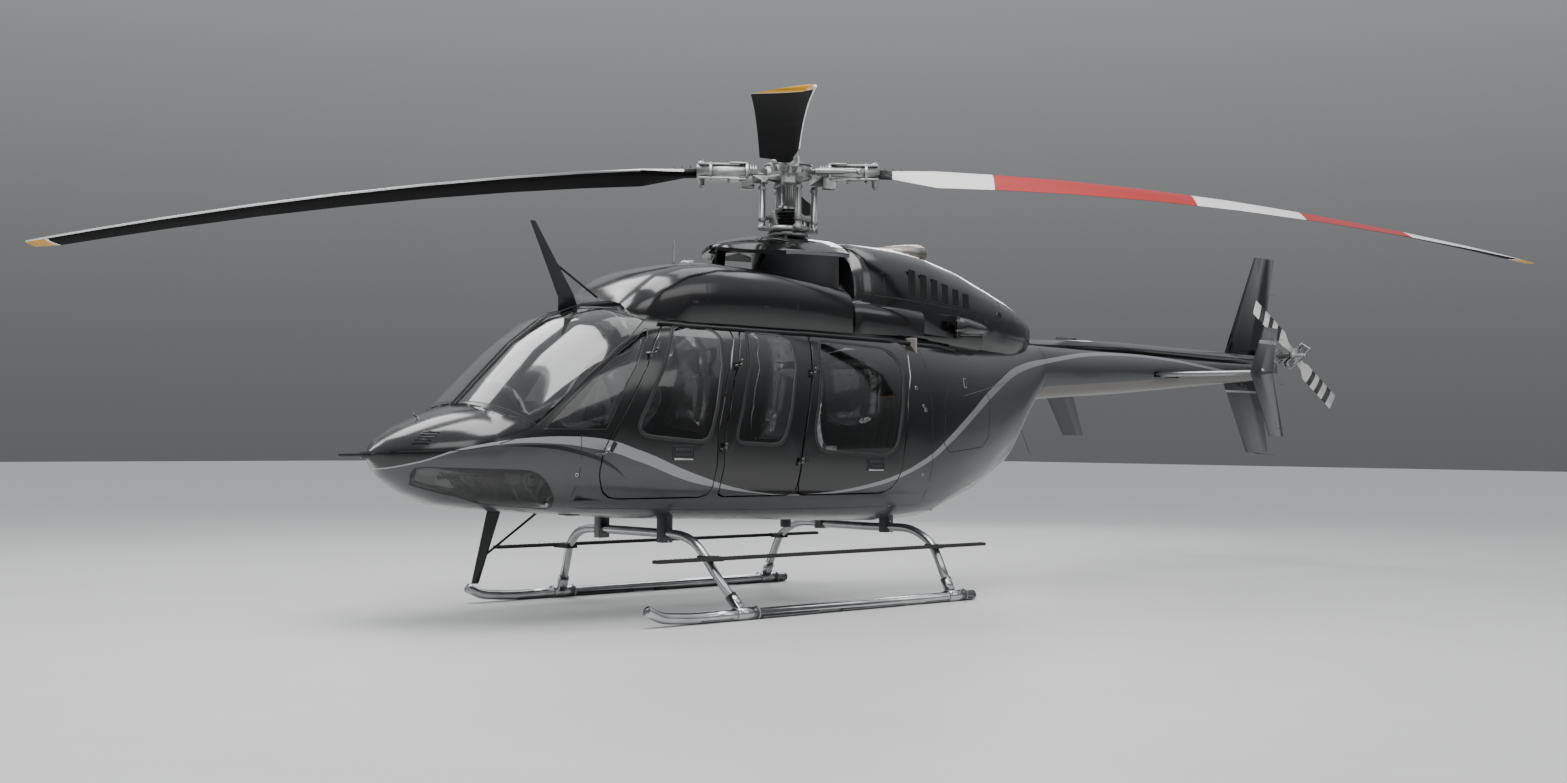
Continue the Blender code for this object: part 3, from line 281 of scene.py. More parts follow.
# Metals: base colour, roughness range, grain size in metres and how far the grain is drawn out along an axis
def metalSurface(name, light, dark, rough, grain, stretch=(1, 1, 1), bump=0.15):
    made, tree, shader, place = newMaterial(name, {"Metallic": 1.0})
    laid = addNode(tree, "Mapping", {"Scale": stretch}, {"Vector": place}).outputs[0]
    grit = addNode(tree, "TexNoise", {"Scale": 1 / grain, "Detail": 4.0}, {"Vector": laid}).outputs[0]
    stain = addNode(tree, "TexNoise", {"Scale": 7.0, "Detail": 6.0}, {"Vector": place}).outputs[0]
    tree.links.new(mixColour(tree, stepUp(tree, stain, 0.5, 0.25), light, dark), shader.inputs["Base Color"])
    spread = addNode(tree, "MapRange", {"To Min": rough[0], "To Max": rough[1]}, {"Value": grit}).outputs[0]
    tree.links.new(spread, shader.inputs["Roughness"])
    addBump(tree, shader, grit, bump, grain * 0.3)
    return made


# Drawn aluminium tube, polished: long fine draw lines along the tube
polishedAluminium = metalSurface("polished_aluminium_tube", "c9cbcc", "a8aaab", (0.16, 0.30), 0.002, (0.05, 1, 1))
# Machined and shot-peened hub forgings with a pale anodised skin
forgedHub = metalSurface("peened_hub_forging", "b4b5b4", "8e8f8e", (0.32, 0.50), 0.0015)
# Steel sheet pressed into the exhaust duct, brushed and browned by heat
exhaustSteel = metalSurface("heat_stained_steel", "c2bfba", "9c8f80", (0.22, 0.40), 0.0012, (1, 1, 0.1))
# Cast magnesium gear case, sand-cast and painted over in grey
castCase = metalSurface("cast_gear_case", "9a9c9c", "77797a", (0.45, 0.60), 0.004)


# Plastics, rubbers and cloths: colours, roughness, grain size in metres, bump strength
def dullSurface(name, light, dark, rough, grain, bump, kind="TexNoise", extra=None):
    made, tree, shader, place = newMaterial(name, extra or {})
    texture = addNode(tree, kind, {"Scale": 1 / grain}, {"Vector": place})
    height = texture.outputs[0] if kind == "TexNoise" else texture.outputs["Distance"]
    cloud = addNode(tree, "TexNoise", {"Scale": 5.0, "Detail": 5.0}, {"Vector": place}).outputs[0]
    tree.links.new(mixColour(tree, stepUp(tree, cloud, 0.5, 0.3), light, dark), shader.inputs["Base Color"])
    spread = addNode(tree, "MapRange", {"To Min": rough - 0.06, "To Max": rough + 0.06}, {"Value": cloud}).outputs[0]
    tree.links.new(spread, shader.inputs["Roughness"])
    addBump(tree, shader, height, bump, grain * 0.4)
    return made


# Extruded rubber, matt black with a soft bloom
blackRubber = dullSurface("extruded_rubber", "191919", "222222", 0.62, 0.003, 0.1)
# Moulded ABS with a fine spark-eroded grain
mouldedTrim = dullSurface("moulded_abs_trim", "26272a", "1d1e20", 0.52, 0.0016, 0.25)
# Grit-bonded anti-slip tape, coarse and dull
gripTape = dullSurface("grit_bonded_tape", "232323", "343434", 0.85, 0.004, 0.8, "TexVoronoi")
# Corrected-grain cowhide over foam, soft sheen in the creases
seatLeather = dullSurface("corrected_grain_leather", "7d776f", "6b655e", 0.48, 0.0035, 0.35, "TexVoronoi",
                          {"Sheen Weight": 0.15})
# Loop-pile nylon carpet on the cabin floor
floorCarpet = dullSurface("loop_pile_carpet", "2c2c2d", "3a3a3b", 0.92, 0.004, 0.9, "TexVoronoi")
# Powder-coated steel tube and sheet, satin black
satinBlack = dullSurface("powder_coated_steel", "17181a", "202123", 0.42, 0.0012, 0.15)


# Stainless fasteners, passivated and dull
stainless = metalSurface("passivated_stainless", "b9babb", "939495", (0.28, 0.42), 0.0010)
# Extruded aluminium strip under satin grey lacquer
paintedStrip = metalSurface("lacquered_aluminium_strip", "717375", "5c5e60", (0.30, 0.42), 0.0020, (0.1, 1, 1), 0.08)
# Electroformed nickel strip bonded over the blades' leading edges
nickelStrip = metalSurface("nickel_leading_edge", "e2e3e2", "cdcecd", (0.28, 0.42), 0.0015)
# Painted shade for the unlit depth behind slots: flat black over a rough surface
deepShade = dullSurface("painted_shade_black", "050505", "0b0b0b", 0.85, 0.003, 0.2)
# Dark stove enamel on instrument cases, finely crinkled
crinkleEnamel = dullSurface("crinkle_enamel", "1b1c1e", "242527", 0.60, 0.0014, 0.35, "TexVoronoi")
# Needle-punched felt headliner and side trims
liningFelt = dullSurface("needled_felt_lining", "8b8881", "7c7973", 0.92, 0.002, 0.3)


# Moulded polycarbonate lenses, clear, with a ribbed inner face
def lensSurface(name, colour, glow):
    made, tree, shader, place = newMaterial(name, {
        "Roughness": 0.06, "IOR": 1.58, "Transmission Weight": 0.7, "Coat Weight": 0.3})
    ribs = addNode(tree, "TexWave", {"Scale": 1 / (0.006 * 6.28)}, {"Vector": place}).outputs["Fac"]
    tree.links.new(mixColour(tree, ribs, colour, glow), shader.inputs["Base Color"])
    addBump(tree, shader, ribs, 0.3, 0.001)
    return made


clearLens = lensSurface("clear_polycarbonate", "dcdfe0", "f2f4f4")


# Switched-off display glass: hard coated, near black, with faint fingerprints
def displaySurface():
    made, tree, shader, place = newMaterial("display_glass", {"Coat Weight": 1.0, "Coat Roughness": 0.03})
    smear = addNode(tree, "TexNoise", {"Scale": 26.0, "Detail": 4.0}, {"Vector": place}).outputs[0]
    tree.links.new(mixColour(tree, smear, "07090b", "10151a"), shader.inputs["Base Color"])
    tree.links.new(mathNode(tree, "MULTIPLY_ADD", smear, 0.2, 0.05), shader.inputs["Roughness"])
    return made


displayGlass = displaySurface()
# White and amber markings, silk-screened in matt epoxy ink
markingInk = dullSurface("silkscreen_ink", "d8d8d2", "c9c9c2", 0.55, 0.001, 0.05)


# Woven polyester webbing: narrow ribs across the strap, drawn at 2 mm so that they show
def wovenWebbing():
    made, tree, shader, place = newMaterial("woven_polyester_webbing", {"Roughness": 0.75, "Sheen Weight": 0.2})
    wave = addNode(tree, "TexWave", {"Scale": 1 / (0.002 * 6.28), "bands_direction": "Z"}, {"Vector": place})
    ribs = wave.outputs["Fac"]
    tree.links.new(mixColour(tree, ribs, "2f3033", "4a4b4e"), shader.inputs["Base Color"])
    addBump(tree, shader, ribs, 0.4, 0.0006)
    return made


webbing = wovenWebbing()


# Glass-fibre blade skins, primed and sprayed in satin bands; a bare nickel strip guards the leading edge
bladeBands = {
    "hub": (0.070, 0.0), "radius": 5.335, "under": "070708", "white": "e9e9e6",
    "red": "a80000", "yellow": "e0a51e", "cuff": "161617",
    "bands": ((0.0, "cuff"), (0.74, "white"), (1.47, "red"), (2.90, "white"), (3.67, "red"), (4.42, "white"),
              (5.19, "yellow")),
}


def bladePaint():
    made, tree, shader, place = newMaterial("banded_blade_paint", {"Specular IOR Level": 0.15})
    centre = (bladeBands["hub"][0] - middleX, bladeBands["hub"][1], 0)
    flat = addNode(tree, "VectorMath", {"operation": "MULTIPLY", 1: (1, 1, 0)}, {0: place}).outputs[0]
    radius = addNode(tree, "VectorMath", {"operation": "DISTANCE", 1: centre}, {0: flat}).outputs["Value"]
    share = mathNode(tree, "DIVIDE", radius, bladeBands["radius"])
    ramp = addNode(tree, "ValToRGB", {}, {0: share})
    ramp.color_ramp.interpolation = "CONSTANT"
    for number, (start, colour) in enumerate(bladeBands["bands"]):
        points = ramp.color_ramp.elements
        point = points[number] if number < 2 else points.new(1.0)
        point.position = start / bladeBands["radius"]
        point.color = linear(bladeBands[colour])
    face = addNode(tree, "NewGeometry").outputs["Normal"]
    up = addNode(tree, "SeparateXYZ", {}, {0: face}).outputs[2]
    under = mathNode(tree, "MULTIPLY", mathNode(tree, "LESS_THAN", up, -0.12), mathNode(tree, "LESS_THAN", radius, 5.19))
    scuff = addNode(tree, "TexNoise", {"Scale": 2.5, "Detail": 7.0}, {"Vector": place}).outputs[0]
    worn = mixColour(tree, mathNode(tree, "MULTIPLY", scuff, 0.16), ramp.outputs[0], "6b6b68")
    tree.links.new(mixColour(tree, under, worn, bladeBands["under"]), shader.inputs["Base Color"])
    rough = addNode(tree, "MapRange", {"To Min": 0.28, "To Max": 0.45}, {"Value": scuff}).outputs[0]
    # the underside is bare matt primer
    tree.links.new(mathNode(tree, "MULTIPLY_ADD", under, 0.5, rough), shader.inputs["Roughness"])
    addBump(tree, shader, scuff, 0.1, 0.0005)
    return made


tailBands = {"hub": (6.511, -0.274, 1.967), "radius": 0.825,
             "bands": ((0.0, "white"), (0.33, "black"), (0.40, "white"), (0.485, "black"), (0.56, "white"),
                       (0.645, "black"), (0.73, "white")),
             "white": "dededa", "black": "131314"}


def tailBladePaint():
    made, tree, shader, place = newMaterial("banded_tail_blade_paint", {"Coat Weight": 0.2, "Coat Roughness": 0.1})
    radius = addNode(tree, "VectorMath", {"operation": "DISTANCE", 1: station(*tailBands["hub"])}, {0: place})
    share = mathNode(tree, "DIVIDE", radius.outputs["Value"], tailBands["radius"])
    ramp = addNode(tree, "ValToRGB", {}, {0: share})
    ramp.color_ramp.interpolation = "CONSTANT"
    for number, (start, colour) in enumerate(tailBands["bands"]):
        points = ramp.color_ramp.elements
        point = points[number] if number < 2 else points.new(1.0)
        point.position = start / tailBands["radius"]
        point.color = linear(tailBands[colour])
    scuff = addNode(tree, "TexNoise", {"Scale": 9.0, "Detail": 6.0}, {"Vector": place}).outputs[0]
    tree.links.new(mixColour(tree, mathNode(tree, "MULTIPLY", scuff, 0.2), ramp.outputs[0], "77776f"),
                   shader.inputs["Base Color"])
    rough = addNode(tree, "MapRange", {"To Min": 0.3, "To Max": 0.5}, {"Value": scuff}).outputs[0]
    tree.links.new(rough, shader.inputs["Roughness"])
    return made


# Gloss black plate and struts, and satin grey on the bow under the plate: the grey is painted reflection, the room's
# light that the black paint there reflects
def mastPaint():
    made, tree, shader, place = newMaterial("mast_fairing_paint_with_painted_reflection", {"Coat Weight": 0.3, "Coat Roughness": 0.1})
    x, y, z = addNode(tree, "SeparateXYZ", {}, {0: place}).outputs
    dust = addNode(tree, "TexNoise", {"Scale": 3.0, "Detail": 5.0}, {"Vector": place}).outputs[0]
    # the bow under the plate: mid grey as painted reflection, and rougher
    paintedReflectionBow = mathNode(tree, "MULTIPLY", mathNode(tree, "LESS_THAN", z, 2.45),
                   mathNode(tree, "GREATER_THAN", x, -0.25 - middleX))
    tree.links.new(mixColour(tree, paintedReflectionBow, livery["black"], "5c5d60"), shader.inputs["Base Color"])
    rough = addNode(tree, "MapRange", {"To Min": 0.09, "To Max": 0.16}, {"Value": dust}).outputs[0]
    tree.links.new(mathNode(tree, "MULTIPLY_ADD", paintedReflectionBow, 0.3, rough), shader.inputs["Roughness"])
    peel = addNode(tree, "TexNoise", {"Scale": 1 / livery["peel"], "Detail": 1.0}, {"Vector": place}).outputs[0]
    addBump(tree, shader, peel, 0.05, 0.0004)
    return made


acrylic = smokedAcrylic("smoked_acrylic", 0.75)
dress = {
    bodyPaint: ("nose_shell", "cabin_frame", "cabin_floor", "aft_fuselage", "tail_boom", "crew_door_left",
                "crew_door_right", "litter_door", "passenger_door_left", "passenger_door_right"),
    blackPaint: ("roof_fairing", "engine_cowl", "drive_shaft_cover"),
    mastPaint(): ("mast_fairing",),
    acrylic: [name for name in nodes if "window" in name or "windscreen" in name or "pane" in name],
    # the chin windows look down at the ground and are kept matt, so that the pedals show
    smokedAcrylic("matt_smoked_acrylic", 0.1): ("chin_window_left", "chin_window_right"),
    finPaint("fin_paint", 1.62, 0.020): ("vertical_fin",),
    finPaint("endplate_paint", 1.985, 0.030): ("stabiliser",),
    bladePaint(): [name for name in nodes if name.startswith("main_blade")],
    tailBladePaint(): ("tail_blade_a", "tail_blade_b"),
    polishedAluminium: ("skid_left", "skid_right", "cross_tube_front", "cross_tube_aft"),
    forgedHub: ("main_rotor_hub", "swashplate", "tail_rotor_hub"),
    castCase: ("tail_gearbox", "transmission", "engine"),
    exhaustSteel: ("exhaust_stack",),
    gripTape: ("step_left", "step_right"),
    satinBlack: ("wire_cutter_upper", "wire_cutter_lower"),
    mouldedTrim: ("instrument_console",),
    seatLeather: ("crew_seat_left", "crew_seat_right", "middle_seats", "rear_bench"),
}
for finish, names in dress.items():
    for name in names:
        nodes[name].data.materials.clear()
        nodes[name].data.materials.append(finish)
print("materials on", sum(len(names) for names in dress.values()), "of", len(nodes), "pieces")


# Shapes: helpers that lay details on the body's surface
# Rings of the body, nose part and rest, roof fairing, engine cowl and boom:
# station, half width, keel, waist and crown heights, roundness below and above the waist
ringTables = {
    "nose": ((-3.250, 0.030, 0.990, 1.020, 1.045, 2.0, 2.0), (-3.180, 0.160, 0.895, 1.030, 1.115, 2.0, 2.0),
             (-3.050, 0.290, 0.800, 1.040, 1.190, 2.1, 2.1), (-2.880, 0.410, 0.725, 1.050, 1.262, 2.3, 2.1),
             (-2.690, 0.515, 0.690, 1.060, 1.328, 2.5, 2.2)),
    "body": ((-2.690, 0.515, 0.690, 1.060, 1.328, 2.5, 2.2), (-2.500, 0.590, 0.675, 1.070, 1.515, 2.7, 2.3),
             (-2.290, 0.645, 0.660, 1.080, 1.716, 2.8, 2.4), (-2.050, 0.685, 0.645, 1.090, 1.890, 2.9, 2.6),
             (-1.800, 0.710, 0.630, 1.090, 1.975, 3.0, 2.9), (-1.450, 0.720, 0.600, 1.090, 2.000, 3.0, 3.0),
             (-0.200, 0.720, 0.560, 1.080, 2.000, 3.0, 3.0), (0.620, 0.720, 0.530, 1.080, 1.980, 3.0, 3.0),
             (1.130, 0.680, 0.545, 1.120, 1.950, 2.8, 3.0), (1.730, 0.530, 0.700, 1.250, 1.930, 2.5, 2.6),
             (2.240, 0.380, 0.900, 1.420, 1.930, 2.2, 2.2), (2.510, 0.300, 1.220, 1.550, 1.930, 2.0, 2.0),
             (2.740, 0.235, 1.466, 1.700, 1.935, 2.0, 2.0)),
    "boom": ((2.740, 0.235, 1.466, 1.700, 1.935, 2.0, 2.0), (3.990, 0.190, 1.545, 1.735, 1.925, 2.0, 2.0),
             (5.530, 0.122, 1.668, 1.787, 1.905, 2.0, 2.0), (6.330, 0.085, 1.735, 1.820, 1.905, 2.0, 2.0)),
    "roof": ((-1.640, 0.340, 1.700, 1.900, 2.015, 2.0, 3.0), (-1.560, 0.430, 1.700, 1.900, 2.110, 2.0, 3.5),
             (-1.430, 0.475, 1.700, 1.900, 2.205, 2.0, 4.0), (-1.230, 0.505, 1.700, 1.900, 2.275, 2.0, 4.5),
             (-0.980, 0.510, 1.700, 1.900, 2.310, 2.0, 4.5), (-0.450, 0.515, 1.700, 1.900, 2.290, 2.0, 5.0),
             (-0.100, 0.510, 1.700, 1.900, 2.262, 2.0, 5.0), (0.250, 0.495, 1.700, 1.900, 2.210, 2.0, 5.0)),
    "cowl": ((0.360, 0.405, 1.650, 2.000, 2.505, 2.0, 3.2), (0.395, 0.440, 1.650, 2.000, 2.548, 2.0, 3.2),
             (0.480, 0.455, 1.650, 2.000, 2.563, 2.0, 3.2), (0.916, 0.455, 1.650, 2.000, 2.561, 2.0, 3.2),
             (1.150, 0.448, 1.650, 2.000, 2.548, 2.0, 3.0), (1.586, 0.415, 1.650, 2.000, 2.462, 2.0, 2.8),
             (1.940, 0.365, 1.650, 2.000, 2.352, 2.0, 2.7), (2.244, 0.305, 1.650, 2.000, 2.258, 2.0, 2.6),
             (2.420, 0.262, 1.700, 2.000, 2.200, 2.0, 2.4), (2.560, 0.205, 1.750, 2.000, 2.130, 2.0, 2.2),
             (2.632, 0.150, 1.800, 1.985, 2.060, 2.0, 2.0), (2.672, 0.085, 1.850, 1.950, 1.990, 2.0, 2.0)),
    "side": ((0.300, 0.468, 1.700, 1.900, 2.145, 2.0, 6.0), (0.345, 0.490, 1.700, 1.900, 2.150, 2.0, 6.0),
             (1.173, 0.485, 1.700, 1.900, 2.100, 2.0, 6.0), (1.400, 0.472, 1.700, 1.900, 2.086, 2.0, 6.0),
             (1.720, 0.430, 1.700, 1.900, 2.038, 2.0, 6.0)),
}
ringSlopes = {}
for part, rows in ringTables.items():
    steps = [[(b[k] - a[k]) / (b[0] - a[0]) for k in range(1, 7)] for a, b in zip(rows, rows[1:])]
    slopes = [steps[0]]
    for number in range(1, len(rows) - 1):
        before = rows[number][0] - rows[number - 1][0]
        after = rows[number + 1][0] - rows[number][0]
        slopes.append([(p * after + q * before) / (before + after)
                       for p, q in zip(steps[number - 1], steps[number])])
    ringSlopes[part] = slopes + [steps[-1]]


# The ring between the table's rows, on a smooth curve through them
def ringAt(part, x):
    rows = ringTables[part]
    number = min(max(bisect_right([row[0] for row in rows], x) - 1, 0), len(rows) - 2)
    low, high = rows[number], rows[number + 1]
    gap = high[0] - low[0]
    t = min(max((x - low[0]) / gap, 0.0), 1.0)
    a, b = (1 + 2 * t) * (1 - t) ** 2, t * (1 - t) ** 2 * gap
    c, d = t * t * (3 - 2 * t), t * t * (t - 1) * gap
    start, end = ringSlopes[part][number], ringSlopes[part][number + 1]
    return [a * low[k + 1] + b * start[k] + c * high[k + 1] + d * end[k] for k in range(6)]


# 1 on the body's skin, less inside it
def skinLevel(part, x, y, z):
    width, low, waist, high, roundLow, roundHigh = ringAt(part, x)
    power, reach = (roundHigh, high - waist) if z > waist else (roundLow, waist - low)
    return (abs(y / width) ** power + abs((z - waist) / reach) ** power) ** (1 / power)


# Outward direction of the smooth skin at a point of the frame
def skinNormal(part, point):
    x, y, z = point.x + middleX, point.y, point.z
    e = 0.004
    rise = Vector((skinLevel(part, x + e, y, z) - skinLevel(part, x - e, y, z),
                   skinLevel(part, x, y + e, z) - skinLevel(part, x, y - e, z),
                   skinLevel(part, x, y, z + e) - skinLevel(part, x, y, z - e)))
    return rise.normalized()


def partAt(x, parts):
    if parts != ("nose", "body"):
        return parts
    return ("nose",) if x + middleX < -2.690 else ("body",)


def finished(name, bm, look, body, angle=35, merge=True):
    if merge:
        bmesh.ops.recalc_face_normals(bm, faces=bm.faces)
    mesh = bpy.data.meshes.new(name)
    bm.to_mesh(mesh)
    bm.free()
    mesh.shade_smooth()
    mesh.set_sharp_from_angle(angle=radians(angle))
    mesh.materials.append(look)
    piece = bpy.data.objects.new(name, mesh)
    bpy.context.scene.collection.objects.link(piece)
    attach(piece, body)
    return piece


def weldedCopy(nodeName):
    bm = bmesh.new()
    bm.from_mesh(nodes[nodeName].data)
    bmesh.ops.remove_doubles(bm, verts=bm.verts, dist=2e-5)
    return bm


# Skins: welded copies of the CAD's panels whose shading follows the smooth skin that the rings lie on
skinParts = {
    ("nose", "body"): ("nose_shell", "chin_window_left", "chin_window_right", "cabin_frame", "cabin_floor",
                       "windscreen_left", "windscreen_right", "quarter_window_left", "quarter_window_right",
                       "middle_window_right", "crew_door_left", "crew_door_right", "litter_door",
                       "passenger_door_left", "passenger_door_right", "crew_pane_left", "crew_pane_right",
                       "litter_pane", "passenger_pane_left", "passenger_pane_right", "aft_fuselage"),
    ("boom",): ("tail_boom",),
    ("roof",): ("roof_fairing",),
    ("cowl", "side"): ("engine_cowl",),
    (): ("mast_fairing", "drive_shaft_cover", "stabiliser", "vertical_fin", "main_blade_1", "main_blade_2",
         "main_blade_3", "main_blade_4", "tail_blade_a", "tail_blade_b", "skid_left", "skid_right",
         "cross_tube_front", "cross_tube_aft", "exhaust_stack", "main_rotor_hub", "swashplate", "tail_rotor_hub",
         "tail_gearbox", "transmission", "engine", "step_left", "step_right", "wire_cutter_upper",
         "wire_cutter_lower"),
}


rotor = {
    "mast": (0.070, 0.0, 3.048),
    "azimuths": {"main_blade_1": 47.8, "main_blade_2": 140.8, "main_blade_3": 227.8, "main_blade_4": 317.6},
}


skins = {}
for parts, names in skinParts.items():
    for name in names:
        bm = weldedCopy(name)
        look = nodes[name].data.materials[0]
        angle = 60 if "pane" in name or "window" in name or "screen" in name else 35
        skin = finished(name + "_skin", bm, look, body_of(nodes[name])[0], angle, False)
        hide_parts(name)
        mesh = skin.data
        if name.startswith("main_blade"):
            # the two narrow rows of faces at the leading edge carry the nickel strip
            mesh.materials.append(nickelStrip)
            azimuth = radians(rotor["azimuths"][name])
            ahead = Vector((-sin(azimuth), cos(azimuth), 0))
            for face in mesh.polygons:
                arm = face.center - station(*rotor["mast"])
                if arm.dot(ahead) > 0.045 and arm.length > 1.0:
                    face.material_index = 1
        if parts:
            smooth = {}
            corners = [Vector(corner.vector) for corner in mesh.corner_normals]
            for face in mesh.polygons:
                for index in face.loop_indices:
                    number = mesh.loops[index].vertex_index
                    if number not in smooth:
                        place = mesh.vertices[number].co
                        smooth[number] = []
                        for part in partAt(face.center.x, parts):
                            level = skinLevel(part, place.x + middleX, place.y, place.z)
                            if 0.93 < level < 1.03:
                                smooth[number].append((abs(level - 1), skinNormal(part, place)))
                        smooth[number].sort(key=lambda pair: pair[0])
                    best = [n for _, n in smooth[number] if n.dot(face.normal) > 0.75]
                    if best:
                        corners[index] = best[0]
            mesh.normals_split_custom_set(corners)
        skins[name] = skin
print("skins", len(skins))

# One tree over the outer panels, to lay details on
outer = bmesh.new()
for name in ("nose_shell", "cabin_frame", "cabin_floor", "aft_fuselage", "roof_fairing", "mast_fairing", "engine_cowl",
             "tail_boom", "drive_shaft_cover", "vertical_fin", "stabiliser", "crew_door_left", "crew_door_right",
             "litter_door", "passenger_door_left", "passenger_door_right", "windscreen_left", "windscreen_right",
             "quarter_window_left", "quarter_window_right"):
    outer.from_mesh(nodes[name].data)
surface = BVHTree.FromBMesh(outer)
outer.free()


# Where a line towards the given station point, from outside along a direction, meets the panels
def touch(point, direction):
    way = Vector(direction).normalized()
    place, normal, _, _ = surface.ray_cast(station(*point) + way * 0.7, -way, 1.4)
    if place is None:
        return station(*point), way
    return place, normal if normal.dot(way) > 0 else -normal


# A path over the panels: corner points in station coordinates, looked at from the axis outwards or from above
def follow(corners, direction=None, step=0.06, axisZ=1.20, closed=False):
    corners = [Vector(c) for c in corners]
    ends = corners[1:] + corners[:1] if closed else corners[1:]
    places = []
    for a, b in zip(corners, ends):
        count = max(1, round((b - a).length / step))
        places += [a.lerp(b, k / count) for k in range(count)]
    if not closed:
        places.append(corners[-1])
    laid = []
    for p in places:
        laid.append(touch(p, direction or (0, p.y, p.z - axisZ)))
    return [place for place, _ in laid], [normal for _, normal in laid]


# A band swept along a path: profile points are (across, out) from the path's point
def sweep(bm, places, normals, profile, closed=False, outwards=None):
    count = len(places)
    rings = []
    middle = sum(places, Vector()) / count
    turn = 0.0
    sides = []
    for i in range(count):
        before = places[i - 1] if i or closed else places[i]
        after = places[(i + 1) % count] if i + 1 < count or closed else places[i]
        along = (after - before).normalized()
        side = along.cross(normals[i]).normalized()
        step = (after - places[i]).normalized() if after != places[i] else along
        widen = 1 / max(along.dot(step), 0.6)
        sides.append(side * widen)
        turn += side.dot(places[i] - middle)
    sign = -1.0 if outwards and turn < 0 else 1.0
    for i in range(count):
        rings.append([bm.verts.new(places[i] + sides[i] * sign * s + normals[i] * h) for s, h in profile])
    pairs = list(zip(rings, rings[1:] + rings[:1] if closed else rings[1:]))
    for near, far in pairs:
        for k in range(len(profile)):
            j = (k + 1) % len(profile)
            bm.faces.new((near[k], near[j], far[j], far[k]))
    if not closed:
        bm.faces.new(rings[0])
        bm.faces.new(rings[-1])


def flatProfile(width, height, sink=0.003):
    half = width / 2
    return ((-half, -sink), (-half, height * 0.5), (-half * 0.7, height), (half * 0.7, height), (half, height * 0.5),
            (half, -sink))


def roundTube(bm, points, radius, sides=10, closed=False):
    points = [Vector(p) for p in points]
    normals = []
    up = Vector((0, 0, 1))
    for i, p in enumerate(points):
        along = (points[min(i + 1, len(points) - 1)] - points[max(i - 1, 0)]).normalized()
        if i == 0 and abs(along.dot(up)) > 0.9:
            up = Vector((0, 1, 0))
        up = (up - along * up.dot(along)).normalized()
        normals.append(up.copy())
    profile = [(radius * cos(2 * pi * k / sides), radius * sin(2 * pi * k / sides)) for k in range(sides)]
    sweep(bm, points, normals, profile, closed)


def bent(corners, radius, steps=5):
    corners = [Vector(c) for c in corners]
    points = [corners[0]]
    for a, b, c in zip(corners, corners[1:], corners[2:]):
        reach = min(radius, (a - b).length * 0.45, (c - b).length * 0.45)
        start, end = b + (a - b).normalized() * reach, b + (c - b).normalized() * reach
        points += [start * (1 - k / steps) ** 2 + b * 2 * k / steps * (1 - k / steps) + end * (k / steps) ** 2
                   for k in range(steps + 1)]
    return points + [corners[-1]]


# Local axes at a place: x along, y across, z out of the surface
def seated(place, normal, along):
    out = normal.normalized()
    along = Vector(along)
    first = (along - out * along.dot(out)).normalized()
    return Matrix.Translation(place) @ Matrix((first, out.cross(first), out)).transposed().to_4x4()


def block(bm, matrix, size, offset=(0, 0, 0), bevel=0.0, segments=1):
    made = bmesh.ops.create_cube(bm, size=1.0, matrix=Matrix.Translation(offset) @ Matrix.Diagonal((*size, 1.0)))
    verts = made["verts"]
    if bevel:
        edges = list({e for v in verts for e in v.link_edges})
        cut = bmesh.ops.bevel(bm, geom=edges, offset=bevel, segments=segments, profile=0.5, affect="EDGES",
                              material=-1)
        verts = list({v for v in verts if v.is_valid} | {v for f in cut["faces"] for v in f.verts})
    bmesh.ops.transform(bm, matrix=matrix, verts=verts)


def rod(bm, start, end, radius, tip=None, sides=12):
    start, end = Vector(start), Vector(end)
    turn = Vector((0, 0, 1)).rotation_difference(end - start).to_matrix().to_4x4()
    bmesh.ops.create_cone(bm, cap_ends=True, segments=sides, radius1=radius, radius2=radius if tip is None else tip,
                          depth=(end - start).length, matrix=Matrix.Translation((start + end) / 2) @ turn)


def ball(bm, place, radius, stretch=(1, 1, 1), turn=None):
    bmesh.ops.create_uvsphere(bm, u_segments=12, v_segments=8, radius=radius,
                              matrix=Matrix.Translation(place) @ (turn or Matrix()) @ Matrix.Diagonal((*stretch, 1)))


# Copies of a small template mesh, one for each place
def stamp(bm, template, matrix):
    copy = template.copy()
    copy.transform(matrix)
    bm.from_mesh(copy)
    bpy.data.meshes.remove(copy)


# A template turned from a round face: each step insets the top face, then lifts it
def turned(name, radius, sides, steps):
    bm = bmesh.new()
    made = bmesh.ops.create_circle(bm, cap_ends=True, segments=sides, radius=radius)
    face = made["verts"][0].link_faces[0]
    for inset, lift in steps:
        if inset:
            bmesh.ops.inset_region(bm, faces=[face], thickness=inset)
        if lift:
            face = bmesh.ops.extrude_discrete_faces(bm, faces=[face])["faces"][0]
            bmesh.ops.translate(bm, verts=face.verts, vec=(0, 0, lift))
    mesh = bpy.data.meshes.new(name)
    bm.to_mesh(mesh)
    bm.free()
    return mesh


# Pan-head screw with a sunk driver hole, and a hex bolt head on its washer
screwHead = turned("screw_head", 0.0055, 8, ((0, 0.0006), (0.0008, 0.0014), (0.0010, 0.0004), (0.0018, -0.0010)))
boltHead = turned("bolt_head", 0.0130, 6, ((0, 0.0022), (0.0022, 0.0), (0.0, 0.0070), (0.0015, 0.0012)))
nutHead = turned("nut_head", 0.0220, 6, ((0, 0.0040), (0.0030, 0.0), (0.0, 0.0120), (0.0025, 0.0020), (0.0050, 0.0),
                                         (0.0, 0.0060)))


